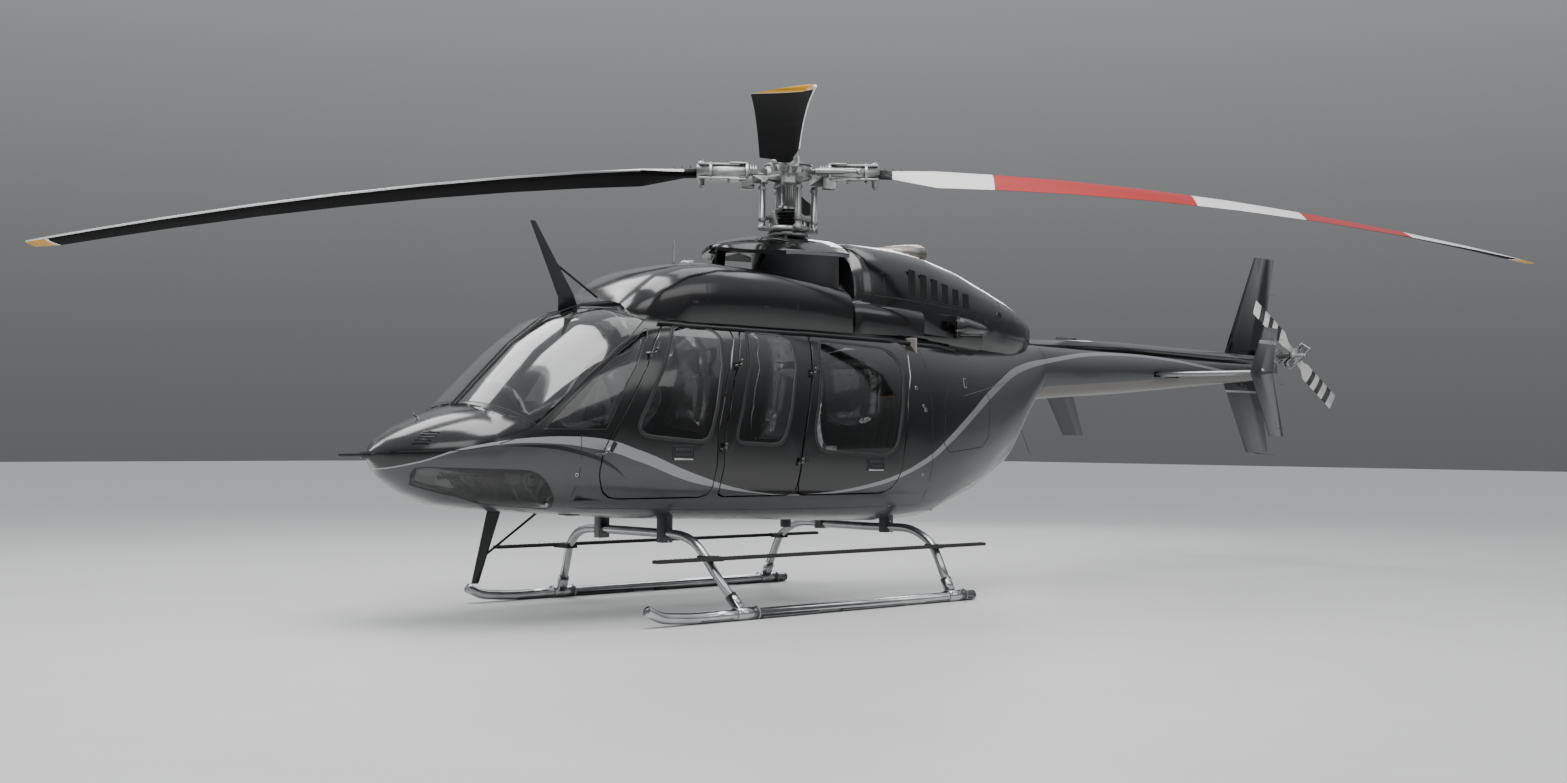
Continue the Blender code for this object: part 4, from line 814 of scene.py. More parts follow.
# The outer edge of a pane or panel, as points in order with the smooth skin's normals
def rimOf(name, parts=("nose", "body")):
    bm = weldedCopy(name)
    bm.normal_update()

    def outerFace(face):
        middle = face.calc_center_median()
        return face.normal.dot(skinNormal(partAt(middle.x, parts)[0], middle)) > 0.7

    kept = {face: outerFace(face) for face in bm.faces}
    edges = [e for e in bm.edges if len(e.link_faces) == 2 and kept[e.link_faces[0]] != kept[e.link_faces[1]]]
    links = {}
    for edge in edges:
        a, b = edge.verts
        links.setdefault(a, []).append(b)
        links.setdefault(b, []).append(a)
    best = []
    left = set(links)
    while left:
        start = left.pop()
        loop = [start]
        while True:
            onward = [v for v in links[loop[-1]] if v in left]
            if not onward:
                break
            loop.append(onward[0])
            left.discard(onward[0])
        if len(loop) > len(best):
            best = loop
    places = []
    for vert in best:
        if not places or (vert.co - places[-1]).length > 0.012:
            places.append(vert.co.copy())
    if (places[0] - places[-1]).length < 0.012:
        places.pop()
    bm.free()
    return places, [skinNormal(partAt(p.x, parts)[0], p) for p in places]


# Extruded rubber round each pane, with a thin bright retaining strip inside it on the door panes and the middle window
seal = {
    "rubber": ((-0.010, -0.004), (-0.009, 0.0030), (-0.004, 0.0060), (0.005, 0.0062), (0.011, 0.0045),
               (0.012, -0.004)),
    "strip": ((-0.0165, -0.002), (-0.0160, 0.0026), (-0.0105, 0.0034), (-0.0095, -0.002)),
    "flush": ((-0.006, -0.002), (-0.005, 0.0012), (0.004, 0.0012), (0.005, -0.002)),
    "panes": {"windscreen_left": "airframe", "windscreen_right": "airframe", "quarter_window_left": "airframe",
              "quarter_window_right": "airframe", "chin_window_left": "airframe", "chin_window_right": "airframe",
              "middle_window_right": "airframe", "crew_pane_left": "crew_door_left",
              "crew_pane_right": "crew_door_right", "litter_pane": "litter_door",
              "passenger_pane_left": "passenger_door_left", "passenger_pane_right": "passenger_door_right"},
}
rims = {}
for name, body in seal["panes"].items():
    rims[name] = rimOf(name)
    bm = bmesh.new()
    bedded = "screen" in name or "quarter" in name or "chin" in name
    sweep(bm, *rims[name], seal["flush" if bedded else "rubber"], True, True)
    finished(name + "_seal", bm, blackRubber, body)
    if "pane" in name or "middle" in name:
        bm = bmesh.new()
        sweep(bm, *rims[name], seal["strip"], True, True)
        finished(name + "_retainer", bm, paintedStrip, body)
print("seals", {name: len(rim[0]) for name, rim in rims.items()})


# Strips and seams over the skin: name, look, slot, width, height, and paths of station points
# with the direction they are looked at from, or None for outwards from the body's middle
above, left, right = (0, 0, 1), (0, -1, 0), (0, 1, 0)


def bothSides(paths):
    return [(path, way) for path, way in paths] + [
        ([(x, -y, z) for x, y, z in path], way and (way[0], -way[1], way[2])) for path, way in paths]


windscreenFoot = [(-2.672, -0.06, 1.32), (-2.665, -0.20, 1.30), (-2.640, -0.33, 1.26), (-2.590, -0.44, 1.215),
                  (-2.500, -0.53, 1.175)]
strips = (
    ("centre_post_strips", blackRubber, "dark_trim", 0.012, 0.006, bothSides([
        ([(-2.690, -0.024, 1.33), (-2.559, -0.024, 1.46), (-2.450, -0.024, 1.56), (-2.289, -0.024, 1.72),
          (-2.141, -0.024, 1.83), (-1.863, -0.024, 1.97)], (-0.6, 0, 1))])),
    ("windscreen_foot_strip", blackRubber, "dark_trim", 0.010, 0.0015, bothSides([(windscreenFoot, (-0.7, -0.35, 1))])),
    ("drip_rails", satinBlack, "gloss_black", 0.016, 0.016, bothSides([
        ([(-1.52, -0.58, 1.935), (-1.30, -0.60, 1.935), (-0.60, -0.60, 1.930), (0.30, -0.595, 1.925),
          (0.90, -0.585, 1.915), (1.35, -0.54, 1.90)], None)])),
    ("nose_seams", blackRubber, "dark_trim", 0.005, 0.0008, bothSides([
        ([(-3.22, -0.08, 1.035), (-3.05, -0.29, 1.045), (-2.88, -0.41, 1.05), (-2.72, -0.49, 1.075),
          (-2.58, -0.545, 1.125)], (-0.6, -1, 0.1)),
        ([(-3.186, -0.014, 1.108), (-3.057, -0.017, 1.185), (-2.894, -0.081, 1.252), (-2.758, -0.194, 1.287),
          (-2.693, -0.266, 1.296)], above)])),
    ("cabin_seams", blackRubber, "dark_trim", 0.005, 0.0008, bothSides([
        ([(-2.20, -0.62, 1.15), (-2.20, -0.64, 0.95), (-2.20, -0.60, 0.72)], left),
        ([(-2.10, -0.60, 0.70), (-1.00, -0.62, 0.665), (0.00, -0.62, 0.655), (0.84, -0.60, 0.66)], left),
        ([(0.86, -0.60, 1.93), (0.86, -0.72, 1.40), (0.86, -0.70, 0.95), (0.86, -0.60, 0.66)], left)])),
    ("baggage_door_seam", blackRubber, "dark_trim", 0.007, 0.0010, [
        ([(1.02, -0.66, 1.42), (1.00, -0.68, 1.10), (1.06, -0.66, 1.04), (1.55, -0.58, 1.08), (1.66, -0.55, 1.16),
          (1.68, -0.54, 1.45), (1.60, -0.56, 1.53), (1.10, -0.66, 1.53), (1.02, -0.66, 1.42)], left)]),
    ("cowl_seams", blackRubber, "dark_trim", 0.006, 0.0010, bothSides([
        ([(0.62, -0.46, 2.16), (0.62, -0.45, 2.35), (0.62, -0.38, 2.48), (0.62, -0.2, 2.56), (0.62, -0.01, 2.57)], None),
        ([(0.40, -0.45, 2.17), (0.90, -0.46, 2.15), (1.40, -0.45, 2.12), (1.75, -0.41, 2.08), (2.05, -0.36, 2.06)], left),
        ([(2.06, -0.36, 2.00), (2.06, -0.33, 2.18), (2.06, -0.22, 2.32), (2.06, -0.01, 2.36)], None),
        ([(-0.30, -0.50, 1.99), (-0.30, -0.50, 2.18), (-0.30, -0.40, 2.28)], None),
        ([(-1.10, -0.50, 2.02), (-1.10, -0.50, 2.16), (-1.10, -0.40, 2.27), (-1.10, -0.20, 2.295)], None)])),
    ("boom_seams", blackRubber, "dark_trim", 0.005, 0.0008, bothSides([
        ([(2.76, -0.15, 1.90), (2.76, -0.24, 1.70), (2.76, -0.15, 1.50)], None),
        ([(3.99, -0.12, 1.88), (3.99, -0.19, 1.735), (3.99, -0.12, 1.58)], None),
        ([(5.53, -0.08, 1.87), (5.53, -0.12, 1.787), (5.53, -0.08, 1.69)], None)])),
)
for name, look, slotName, width, height, paths in strips:
    bm = bmesh.new()
    for path, way in paths:
        axisZ = 1.75 if "boom" in name else 2.05 if "cowl" in name else 1.2
        sweep(bm, *follow(path, way, axisZ=axisZ), flatProfile(width, height))
    finished(name, bm, look, "airframe")
print("strips done")

# Fastener rows: radius by template, paths and spacing
rows = (
    (0.085, bothSides([([(x - 0.012, y, z - 0.012) for x, y, z in windscreenFoot], (-0.7, -0.35, 1))])),
    (0.11, bothSides([([(-2.66, -0.010, 1.355), (-2.45, -0.010, 1.565), (-2.14, -0.010, 1.835), (-1.90, -0.010, 1.96)],
                       (-0.6, 0, 1))])),
    (0.12, bothSides([([(-2.10, -0.60, 0.680), (-1.00, -0.62, 0.645), (0.84, -0.60, 0.640)], left)])),
    (0.10, bothSides([([(0.88, -0.60, 1.88), (0.88, -0.72, 1.40), (0.88, -0.70, 0.95), (0.88, -0.60, 0.70)], left)])),
    (0.09, bothSides([([(0.60, -0.46, 2.18), (0.60, -0.45, 2.35), (0.60, -0.38, 2.48), (0.60, -0.2, 2.56)], None)])),
    (0.10, bothSides([([(0.45, -0.46, 2.135), (1.40, -0.45, 2.10)], left)])),
    (0.09, bothSides([([(2.04, -0.33, 2.16), (2.04, -0.22, 2.32), (2.04, -0.06, 2.36)], None)])),
    (0.11, bothSides([([(-1.45, -0.47, 1.99), (-0.80, -0.51, 2.01), (0.20, -0.50, 2.01)], left)])),
    (0.10, bothSides([([(-3.00, -0.31, 1.03), (-2.72, -0.48, 1.06)], (-0.6, -1, 0.1))])),
    (0.14, bothSides([([(2.80, -0.235, 1.70), (3.95, -0.19, 1.735)], left),
                      ([(4.05, -0.19, 1.735), (5.50, -0.12, 1.787)], left)])),
    (0.12, bothSides([([(2.80, -0.07, 1.925), (4.30, -0.07, 1.945), (6.20, -0.07, 1.92)], left)])),
)
bm = bmesh.new()
count = 0
for gap, paths in rows:
    for path, way in paths:
        places, normals = follow(path, way, gap, 2.05 if path[0][2] > 1.95 else 1.2)
        for place, normal in zip(places[1:], normals[1:]):
            stamp(bm, screwHead, seated(place, normal, (1, 0, 0.01)) @ Matrix.Scale(0.8, 4))
            count += 1
finished("airframe_fasteners", bm, bodyPaint, "airframe", merge=False)
print("fasteners", count)


# Flush door handles: a dark pan let into the skin, a bright lower lip and a paddle
doorHandles = {
    "crew_door_left": (-1, (-1.465, 1.041)), "crew_door_right": (1, (-1.465, 1.041)),
    "passenger_door_left": (-1, (0.256, 0.961)), "passenger_door_right": (1, (0.256, 0.961)),
}
for name, (side, (x, z)) in doorHandles.items():
    place, normal = touch((x, side * 0.7, z), (0, side, 0))
    matrix = seated(place, normal, (1, 0, 0.0))
    up = matrix.to_3x3().col[1].z
    bm = bmesh.new()
    block(bm, matrix, (0.170, 0.088, 0.004), (0, 0, 0.0), 0.0015)
    finished(name + "_handle_pan", bm, satinBlack, name)
    lip = -1 if up > 0 else 1
    bm = bmesh.new()
    block(bm, matrix, (0.150, 0.013, 0.008), (0, lip * 0.041, 0.004), 0.003, 2)
    finished(name + "_handle_lip", bm, polishedAluminium, name)
    bm = bmesh.new()
    block(bm, matrix, (0.160, 0.005, 0.005), (0, -lip * 0.040, 0.003), 0.0015)
    for x in (-0.081, 0.081):
        block(bm, matrix, (0.005, 0.076, 0.005), (x, -lip * 0.004, 0.003), 0.0015)
    block(bm, matrix, (0.138, 0.022, 0.008), (0, -lip * 0.018, 0.005), 0.003, 2)
    block(bm, matrix, (0.138, 0.018, 0.006), (0, lip * 0.014, 0.004), 0.003, 2)
    rod(bm, matrix @ Vector((0.058, -lip * 0.018, 0.002)), matrix @ Vector((0.058, -lip * 0.018, 0.012)), 0.009)
    finished(name + "_handle", bm, mouldedTrim, name)

# Hinge leaves screwed to the frame beside each hinge's knuckles
hinges = {"crew": ((-2.055, -0.725, 1.054), (-1.650, -0.685, 1.681)),
          "passenger": ((-0.458, -0.740, 0.991), (-0.317, -0.705, 1.600))}
for name, ends in hinges.items():
    for end, side in (("left", -1), ("right", 1)):
        leaf = bmesh.new()
        heads = bmesh.new()
        for x, y, z in ends:
            along = Vector(ends[1]) - Vector(ends[0])
            place, normal = touch((x + 0.065, y * -side, z + 0.02), (0, side, 0))
            matrix = seated(place, normal, (along.x, 0, along.z))
            block(leaf, matrix, (0.070, 0.030, 0.006), (0, 0, 0.002), 0.002)
            for shift in (-0.024, 0.024):
                stamp(heads, screwHead, matrix @ Matrix.Translation((shift, 0, 0.005)))
        door = f"{name}_door_{end}"
        finished(f"{door}_hinge_leaves", leaf, satinBlack, door)
        finished(f"{door}_hinge_screws", heads, satinBlack, door, merge=False)

# Five slot vents pressed into each side of the nose top
bm = bmesh.new()
slits = bmesh.new()
for side in (-1, 1):
    for number in range(5):
        x, z = -3.024 - 0.0185 * number, 1.154 - 0.0168 * number
        places, normals = follow([(x, side * 0.225, z), (x + 0.070, side * 0.295, z + 0.001)], (-0.4, side * 0.8, 0.8), 0.02)
        sweep(bm, places, normals, ((-0.0075, -0.003), (-0.0070, 0.0030), (-0.0050, 0.0034), (-0.0040, -0.003)))
        # the slot between the lips is filled with painted shade
        sweep(slits, places, normals, ((-0.0045, -0.002), (-0.0045, 0.0008), (0.0055, 0.0008), (0.0055, -0.002)))
finished("nose_vent_lips", bm, blackPaint, "airframe")
finished("nose_vent_slots", slits, deepShade, "airframe")

# Louvred panels on the engine cowl, latches and the round vent
louvres = bmesh.new()
shades = bmesh.new()
latches = bmesh.new()
for side in (-1, 1):
    for number in range(6):
        share = number / 5
        x = 0.915 + 0.128 * number
        low, high = 2.195 - 0.050 * share, 2.385 - 0.125 * share
        place, normal = touch((x, side * 0.45, (low + high) / 2), (0, side, 0.25))
        matrix = seated(place, normal, (1, 0, -0.12))
        tall = high - low
        # a plate of painted shade under each louvre's slats
        block(shades, matrix, (0.074, tall, 0.003), (0, 0, 0.0), 0.001)
        for slat in range(5):
            block(louvres, matrix @ Matrix.Translation((-0.028 + 0.014 * slat, 0, 0.002)) @
                  Matrix.Rotation(radians(30), 4, "Y"), (0.010, tall - 0.006, 0.0016))
    for x, z in ((0.75, 2.155), (1.10, 2.135), (1.80, 2.045), (-0.60, 2.01), (-1.20, 2.01)):
        place, normal = touch((x, side * 0.5, z), (0, side, 0))
        matrix = seated(place, normal, (1, 0, 0))
        block(latches, matrix, (0.052, 0.018, 0.004), (0, 0, 0.0010), 0.0015)
        block(latches, matrix, (0.030, 0.010, 0.004), (0.008, 0, 0.0035), 0.0015)
        rod(latches, matrix @ Vector((-0.018, 0, 0.001)), matrix @ Vector((-0.018, 0, 0.0055)), 0.005)
    place, normal = touch((2.009, side * 0.345, 2.104), (0, side, 0.2))
    matrix = seated(place, normal, (1, 0, 0))
    # the round vent's middle is a disc of painted shade
    rod(shades, matrix @ Vector((0, 0, -0.002)), matrix @ Vector((0, 0, 0.003)), 0.026, sides=20)
    ring = [matrix @ Vector((0.030 * cos(2 * pi * k / 20), 0.030 * sin(2 * pi * k / 20), 0.002)) for k in range(20)]
    sweep(latches, ring, [normal] * 20, ((-0.005, -0.003), (-0.004, 0.004), (0.002, 0.005), (0.006, -0.003)), True)
finished("cowl_louvres", louvres, satinBlack, "airframe")
finished("cowl_louvre_shades", shades, deepShade, "airframe")
finished("cowl_latches", latches, satinBlack, "airframe")

# Woven screens deep in the scoops' mouths
bm = bmesh.new()
for side in (-1, 1):
    for k in range(8):
        z = 1.910 + 0.022 * k
        roundTube(bm, [station(1.375, side * 0.450, z), station(1.375, side * 0.500, z)], 0.0016, 5)
    for k in range(4):
        y = side * (0.455 + 0.014 * k)
        roundTube(bm, [station(1.375, y, 1.900), station(1.375, y, 2.075)], 0.0016, 5)
finished("intake_screens", bm, satinBlack, "airframe")

# Small fittings on the aft body: light lens, filler cap, vents, drain and tie-down points
fittings = bmesh.new()
dark = bmesh.new()
for x, z, radius in ((0.702, 1.501, 0.016), (0.765, 1.373, 0.014), (0.784, 1.345, 0.018), (0.764, 0.879, 0.012),
                     (-1.999, 1.057, 0.022), (-2.218, 0.907, 0.014), (0.525, 0.659, 0.012), (1.548, 0.799, 0.012)):
    for side in (-1, 1):
        place, normal = touch((x, side * 0.68, z), (0, side, 0))
        matrix = seated(place, normal, (1, 0, 0))
        rod(fittings, matrix @ Vector((0, 0, -0.002)), matrix @ Vector((0, 0, 0.004)), radius, radius * 0.85, 14)
        rod(dark, matrix @ Vector((0, 0, 0.002)), matrix @ Vector((0, 0, 0.0048)), radius * 0.5, sides=10)
place, normal = touch((1.32, -0.60, 1.555), left)
matrix = seated(place, normal, (0, 0, 1))
block(fittings, matrix, (0.075, 0.042, 0.006), (0, 0, 0.002), 0.002)
block(dark, matrix, (0.052, 0.024, 0.004), (0, 0, 0.005), 0.001)
place, normal = touch((0.98, 0.66, 1.30), right)
matrix = seated(place, normal, (1, 0, 0))
rod(fittings, matrix @ Vector((0, 0, -0.004)), matrix @ Vector((0, 0, 0.008)), 0.055, 0.050, 28)
rod(dark, matrix @ Vector((0, 0, 0.004)), matrix @ Vector((0, 0, 0.0095)), 0.034, 0.032, 28)
block(fittings, matrix, (0.052, 0.012, 0.010), (0, 0, 0.010), 0.003)
finished("aft_body_fittings", fittings, stainless, "airframe")
finished("aft_body_fitting_centres", dark, blackRubber, "airframe")
bm = bmesh.new()
places, normals = follow([(1.293, -0.624, 1.458), (1.65, -0.55, 1.52), (2.002, -0.425, 1.585)], left)
sweep(bm, places, normals, flatProfile(0.004, 0.004))
finished("bonding_strip", bm, stainless, "airframe")
print("panel details done")


# Landing gear: wear shoes, end plugs, saddle bolts, tread studs on the steps
gear = {"y": 0.985, "radius": 0.034, "feet": (-1.205, 0.753), "stepY": 0.875, "stepZ": 0.3905,
        "stepX": (-1.795, 1.195)}
for side, end in ((-1, "left"), (1, "right")):
    y = gear["y"] * side
    bm = bmesh.new()
    for low, high in ((-1.55, -1.30), (-1.05, -0.55), (-0.35, 0.25), (0.45, 0.95)):
        points = [station(low + (high - low) * k / 6, y, 0.0365) for k in range(7)]
        arc = [(0.0358 * sin(a), -0.0358 * cos(a)) for a in [radians(-58 + 116 * k / 8) for k in range(9)]]
        shoe = arc + [(s * 0.94, h * 0.94) for s, h in reversed(arc)]
        sweep(bm, points, [Vector((0, 0, 1))] * 7, shoe)
    finished(f"skid_wear_shoes_{end}", bm, castCase, "airframe")
    bm = bmesh.new()
    rod(bm, station(0.968, y, 0.036), station(0.978, y, 0.036), 0.0345, 0.030, 18)
    for x in gear["feet"]:
        for shift in (-0.035, 0.035, 0.085):
            for lean in (-1, 1):
                out = Vector((0, lean * 0.80, 0.60)).normalized()
                matrix = seated(station(x + shift, y, 0.040) + out * 0.0385, out, (1, 0, 0))
                stamp(bm, boltHead, matrix @ Matrix.Scale(0.62, 4))
        for shift in (-0.058, 0.118):
            ring = [station(x + shift, y + 0.0405 * cos(2 * pi * k / 20), 0.040 + max(0.0405 * sin(2 * pi * k / 20), -0.036))
                    for k in range(20)]
            sweep(bm, ring, [(p - station(x + shift, y, 0.040)).normalized() for p in ring],
                  ((-0.004, -0.002), (-0.004, 0.003), (0.004, 0.003), (0.004, -0.002)), True)
    finished(f"skid_fittings_{end}", bm, stainless, "airframe")
    bm = bmesh.new()
    count = 76
    for k in range(count):
        x = gear["stepX"][0] + (gear["stepX"][1] - gear["stepX"][0]) * k / (count - 1)
        block(bm, Matrix.Translation(station(x, side * gear["stepY"], gear["stepZ"])), (0.010, 0.050, 0.004), bevel=0.0012)
    finished(f"step_treads_{end}", bm, gripTape, "airframe")
    bm = bmesh.new()
    for x, y, z in ((-1.294, 0.740, 0.395), (0.753, 0.800, 0.395)):
        for shift in (-0.028, 0.028):
            stamp(bm, boltHead, Matrix.Translation(station(x + shift, side * (y + 0.085), 0.3905)) @ Matrix.Scale(0.6, 4))
    for x in (-1.310, 0.753):
        for lift in (-0.036, 0.036):
            place = station(x, side * 0.3765, 0.500 + lift)
            stamp(bm, boltHead, seated(place, Vector((0, side, 0)), (1, 0, 0)) @ Matrix.Scale(0.7, 4))
    finished(f"gear_bolts_{end}", bm, stainless, "airframe", merge=False)

# Belly: flush landing lights, one low aerial and drain pipes
bm = bmesh.new()
glass = bmesh.new()
for side in (-1, 1):
    place, normal = touch((-1.95, side * 0.18, 0.60), (0, 0, -1))
    matrix = seated(place, normal, (1, 0, 0))
    rod(bm, matrix @ Vector((0, 0, -0.004)), matrix @ Vector((0, 0, 0.006)), 0.070, 0.066, 28)
    ball(glass, matrix @ Vector((0, 0, 0.004)), 0.058, (1, 1, 0.14), matrix.to_3x3().to_4x4())
place, normal = touch((-0.50, 0.10, 0.50), (0, 0, -1))
matrix = seated(place, normal, (1, 0, 0))
block(bm, matrix, (0.110, 0.060, 0.010), (0.0, 0, 0.003), 0.004, 2)
for x, y in ((1.25, 0.18), (1.33, 0.18), (1.42, -0.14), (0.30, 0.30)):
    place, normal = touch((x, y, 0.50), (0, 0, -1))
    roundTube(bm, bent([place + normal * -0.01, place + normal * 0.030, place + normal * 0.042 + Vector((0.025, 0, 0))],
                       0.02), 0.006, 8)
finished("belly_fittings", bm, satinBlack, "airframe")
finished("landing_light_lenses", glass, clearLens, "airframe")

# Roof: the beacon's flat clear dome, the bright whip aerial, the probe on the nose
bm = bmesh.new()
lens = bmesh.new()
bright = bmesh.new()
ball(lens, station(-0.86, 0, 2.316), 0.058, (1, 1, 0.62))
rod(bm, station(-0.86, 0, 2.300), station(-0.86, 0, 2.318), 0.064, 0.060, 28)
rod(bm, station(-0.98, 0, 2.300), station(-0.98, 0, 2.325), 0.020, 0.008, 16)
rod(bright, station(-0.98, 0, 2.320), station(-0.98, 0, 2.471), 0.0080, 0.0054, 12)
place, normal = touch((-2.930, 0.0, 1.24), above)
rod(bright, place - normal * 0.004, place + normal * 0.006, 0.012, 0.010, 16)
rod(bright, place, place + Vector((-0.030, 0, 0.026)), 0.0055, sides=12)
for side in (-1, 1):
    place, normal = touch((2.30, side * 0.10, 2.25), above)
    matrix = seated(place, normal, (1, 0, 0))
    block(bm, matrix, (0.070, 0.030, 0.010), (0, 0, 0.003), 0.004, 2)
finished("roof_fittings", bm, satinBlack, "airframe")
finished("aerial_and_probe", bright, stainless, "airframe")
finished("beacon_lens", lens, clearLens, "airframe")

# Wire cutters: screwed edges of the blade holders and the upper one's bolted foot
bm = bmesh.new()
for corners in ([(-1.925, 0, 2.040), (-2.134, 0, 2.496)], [(-2.345, 0, 0.672), (-2.496, 0, 0.236)]):
    points = [station(*corner) for corner in corners]
    sweep(bm, points, [Vector((0, 1, 0))] * 2, ((-0.006, -0.0095), (-0.006, 0.0095), (0.006, 0.0010), (0.006, -0.0010)))
for x, z in ((-1.88, 1.968), (-1.80, 1.988)):
    for y in (-0.022, 0.022):
        place, normal = touch((x, y, z), above)
        stamp(bm, boltHead, seated(place + normal * 0.003, normal, (1, 0, 0)) @ Matrix.Scale(0.6, 4))
places, normals = follow([(-1.92, 0.0, 1.96), (-1.77, 0.0, 2.0)], above)
sweep(bm, places, normals, flatProfile(0.070, 0.005))
finished("wire_cutter_edges", bm, satinBlack, "airframe")
print("gear and belly done")


# Main rotor hub: everything here turns with the blades
mastTop = station(*rotor["mast"])
metal = bmesh.new()
bolts = bmesh.new()
rubber = bmesh.new()
for name, azimuth in rotor["azimuths"].items():
    turn = Matrix.Translation(mastTop) @ Matrix.Rotation(radians(azimuth), 4, "Z")
    for x in (0.345, 0.430):
        for y in (-0.034, 0.034):
            stamp(bolts, boltHead, turn @ Matrix.Translation((x, y, 0.062)))
            stamp(bolts, boltHead, turn @ Matrix.Translation((x, y, -0.062)) @ Matrix.Rotation(pi, 4, "X"))
    for z, flip in ((0.065, 0), (-0.100, pi)):
        stamp(bolts, nutHead, turn @ Matrix.Translation((0.625, 0, z)) @ Matrix.Rotation(flip, 4, "X"))
    # forked grip: two plates over and under the blade's root, with a thick barrel between them
    for z in (-0.050, 0.050):
        block(metal, turn, (0.300, 0.118, 0.016), (0.500, 0, z), 0.006, 2)
    for z in (-0.058, 0.058):
        block(metal, turn, (0.120, 0.134, 0.014), (0.365, 0, z), 0.005, 2)
    for x in (0.300, 0.560):
        ring = [Vector((x, 0.070 * cos(2 * pi * k / 20), 0.070 * sin(2 * pi * k / 20))) for k in range(20)]
        sweep(metal, [turn @ p for p in ring], [(turn.to_3x3() @ Vector((0, p.y, p.z))).normalized() for p in ring],
              ((-0.008, -0.01), (-0.008, 0.004), (0.008, 0.004), (0.008, -0.01)), True)
    # damper from the yoke to the grip's trailing side
    rod(metal, turn @ Vector((0.215, -0.105, 0.0)), turn @ Vector((0.400, -0.105, 0.0)), 0.024, sides=16)
    rod(metal, turn @ Vector((0.400, -0.105, 0.0)), turn @ Vector((0.500, -0.098, 0.0)), 0.011, sides=12)
    for x in (0.205, 0.505):
        ball(metal, turn @ Vector((x, -0.100, 0.0)), 0.022)
        block(metal, turn, (0.036, 0.050, 0.030), (x, -0.075, 0.0), 0.006)
    # rod ends and locknuts on the pitch link
    link = Vector((0.190, 0.070, 0.0))
    for z in (-0.075, -0.405):
        ball(metal, turn @ (link + Vector((0, 0, z))), 0.030, (1, 1, 0.85))
        rod(bolts, turn @ (link + Vector((0, -0.036, z))), turn @ (link + Vector((0, 0.036, z))), 0.010, sides=6)
    for z in (-0.125, -0.350):
        rod(bolts, turn @ (link + Vector((0, 0, z - 0.010))), turn @ (link + Vector((0, 0, z + 0.010))), 0.030, sides=6)
    # elastomeric bearing between cap and grip
    for k in range(5):
        x = 0.236 + 0.009 * k
        ring = [Vector((x, 0.052 * cos(2 * pi * j / 18), 0.052 * sin(2 * pi * j / 18))) for j in range(18)]
        sweep(rubber if k % 2 else metal, [turn @ p for p in ring],
              [(turn.to_3x3() @ Vector((0, p.y, p.z))).normalized() for p in ring],
              ((-0.0042, -0.03), (-0.0042, 0.004), (0.0042, 0.004), (0.0042, -0.03)), True)
    root = bmesh.new()
    for x in (0.70, 0.76, 0.82):
        for y in (-0.020, 0.022):
            stamp(root, boltHead, turn @ Matrix.Translation((x, y, 0.030)) @ Matrix.Scale(0.7, 4))
    finished(name + "_root_bolts", root, stainless, "main_rotor", merge=False)
for k in range(12):
    turn = Matrix.Translation(mastTop) @ Matrix.Rotation(2 * pi * k / 12, 4, "Z")
    stamp(bolts, boltHead, turn @ Matrix.Translation((0.138, 0, 0.050)))
for radius, low, high in ((0.100, 0.050, 0.062), (0.062, 0.062, 0.083)):
    rod(metal, mastTop + Vector((0, 0, low)), mastTop + Vector((0, 0, high)), radius, radius - 0.006, 28)
for z in (-0.040, 0.052):
    ring = [mastTop + Vector((0.172 * cos(2 * pi * k / 36), 0.172 * sin(2 * pi * k / 36), z)) for k in range(36)]
    sweep(metal, ring, [Vector((0, 0, 1))] * 36, ((-0.012, -0.006), (-0.010, 0.005), (0.000, 0.005), (0.003, -0.006)), True)
# bellows boot on the mast between collar and turning ring
for k in range(6):
    z = -0.385 + 0.022 * k
    ring = [mastTop + Vector((0.074 * cos(2 * pi * j / 24), 0.074 * sin(2 * pi * j / 24), z)) for j in range(24)]
    sweep(rubber, ring, [(p - mastTop - Vector((0, 0, z))).normalized() for p in ring],
          ((-0.0105, -0.020), (-0.008, 0.0), (0.0, 0.014), (0.008, 0.0), (0.0105, -0.020)), True)
# scissor links that drive the turning ring
for angle in (140.8 + 45, 140.8 + 225):
    turn = Matrix.Translation(mastTop) @ Matrix.Rotation(radians(angle), 4, "Z")
    for a, b in (((0.070, 0, -0.265), (0.155, 0, -0.300)), ((0.155, 0, -0.300), (0.120, 0, -0.398))):
        middle = (Vector(a) + Vector(b)) / 2
        way = Vector(b) - Vector(a)
        arm = turn @ seated(middle, Vector((0, 1, 0)), way)
        block(metal, arm, (way.length + 0.02, 0.024, 0.034), bevel=0.006)
    for p in ((0.155, -0.024, -0.300), (0.120, -0.022, -0.395)):
        rod(bolts, turn @ Vector(p), turn @ Vector((p[0], -p[1], p[2])), 0.010, sides=8)
finished("rotor_hub_grips", metal, forgedHub, "main_rotor")
finished("rotor_hub_bolts", bolts, stainless, "main_rotor")
finished("rotor_hub_rubber", rubber, blackRubber, "main_rotor")

# Fixed side of the controls: three rods from the roof to the still ring, and the base's bolts
bm = bmesh.new()
for angle in (100, 220, 340):
    c, s = cos(radians(angle)), sin(radians(angle))
    foot, top = station(0.070 + 0.105 * c, 0.105 * s, 2.33), station(0.070 + 0.128 * c, 0.128 * s, 2.585)
    rod(bm, foot, top, 0.013, sides=12)
    ball(bm, top, 0.020)
for k in range(10):
    turn = Matrix.Translation(station(0.070, 0, 2.608)) @ Matrix.Rotation(2 * pi * k / 10, 4, "Z")
    stamp(bm, boltHead, turn @ Matrix.Translation((0.110, 0, -0.004)) @ Matrix.Scale(0.55, 4))
finished("control_rods", bm, forgedHub, "airframe")
print("hub done")


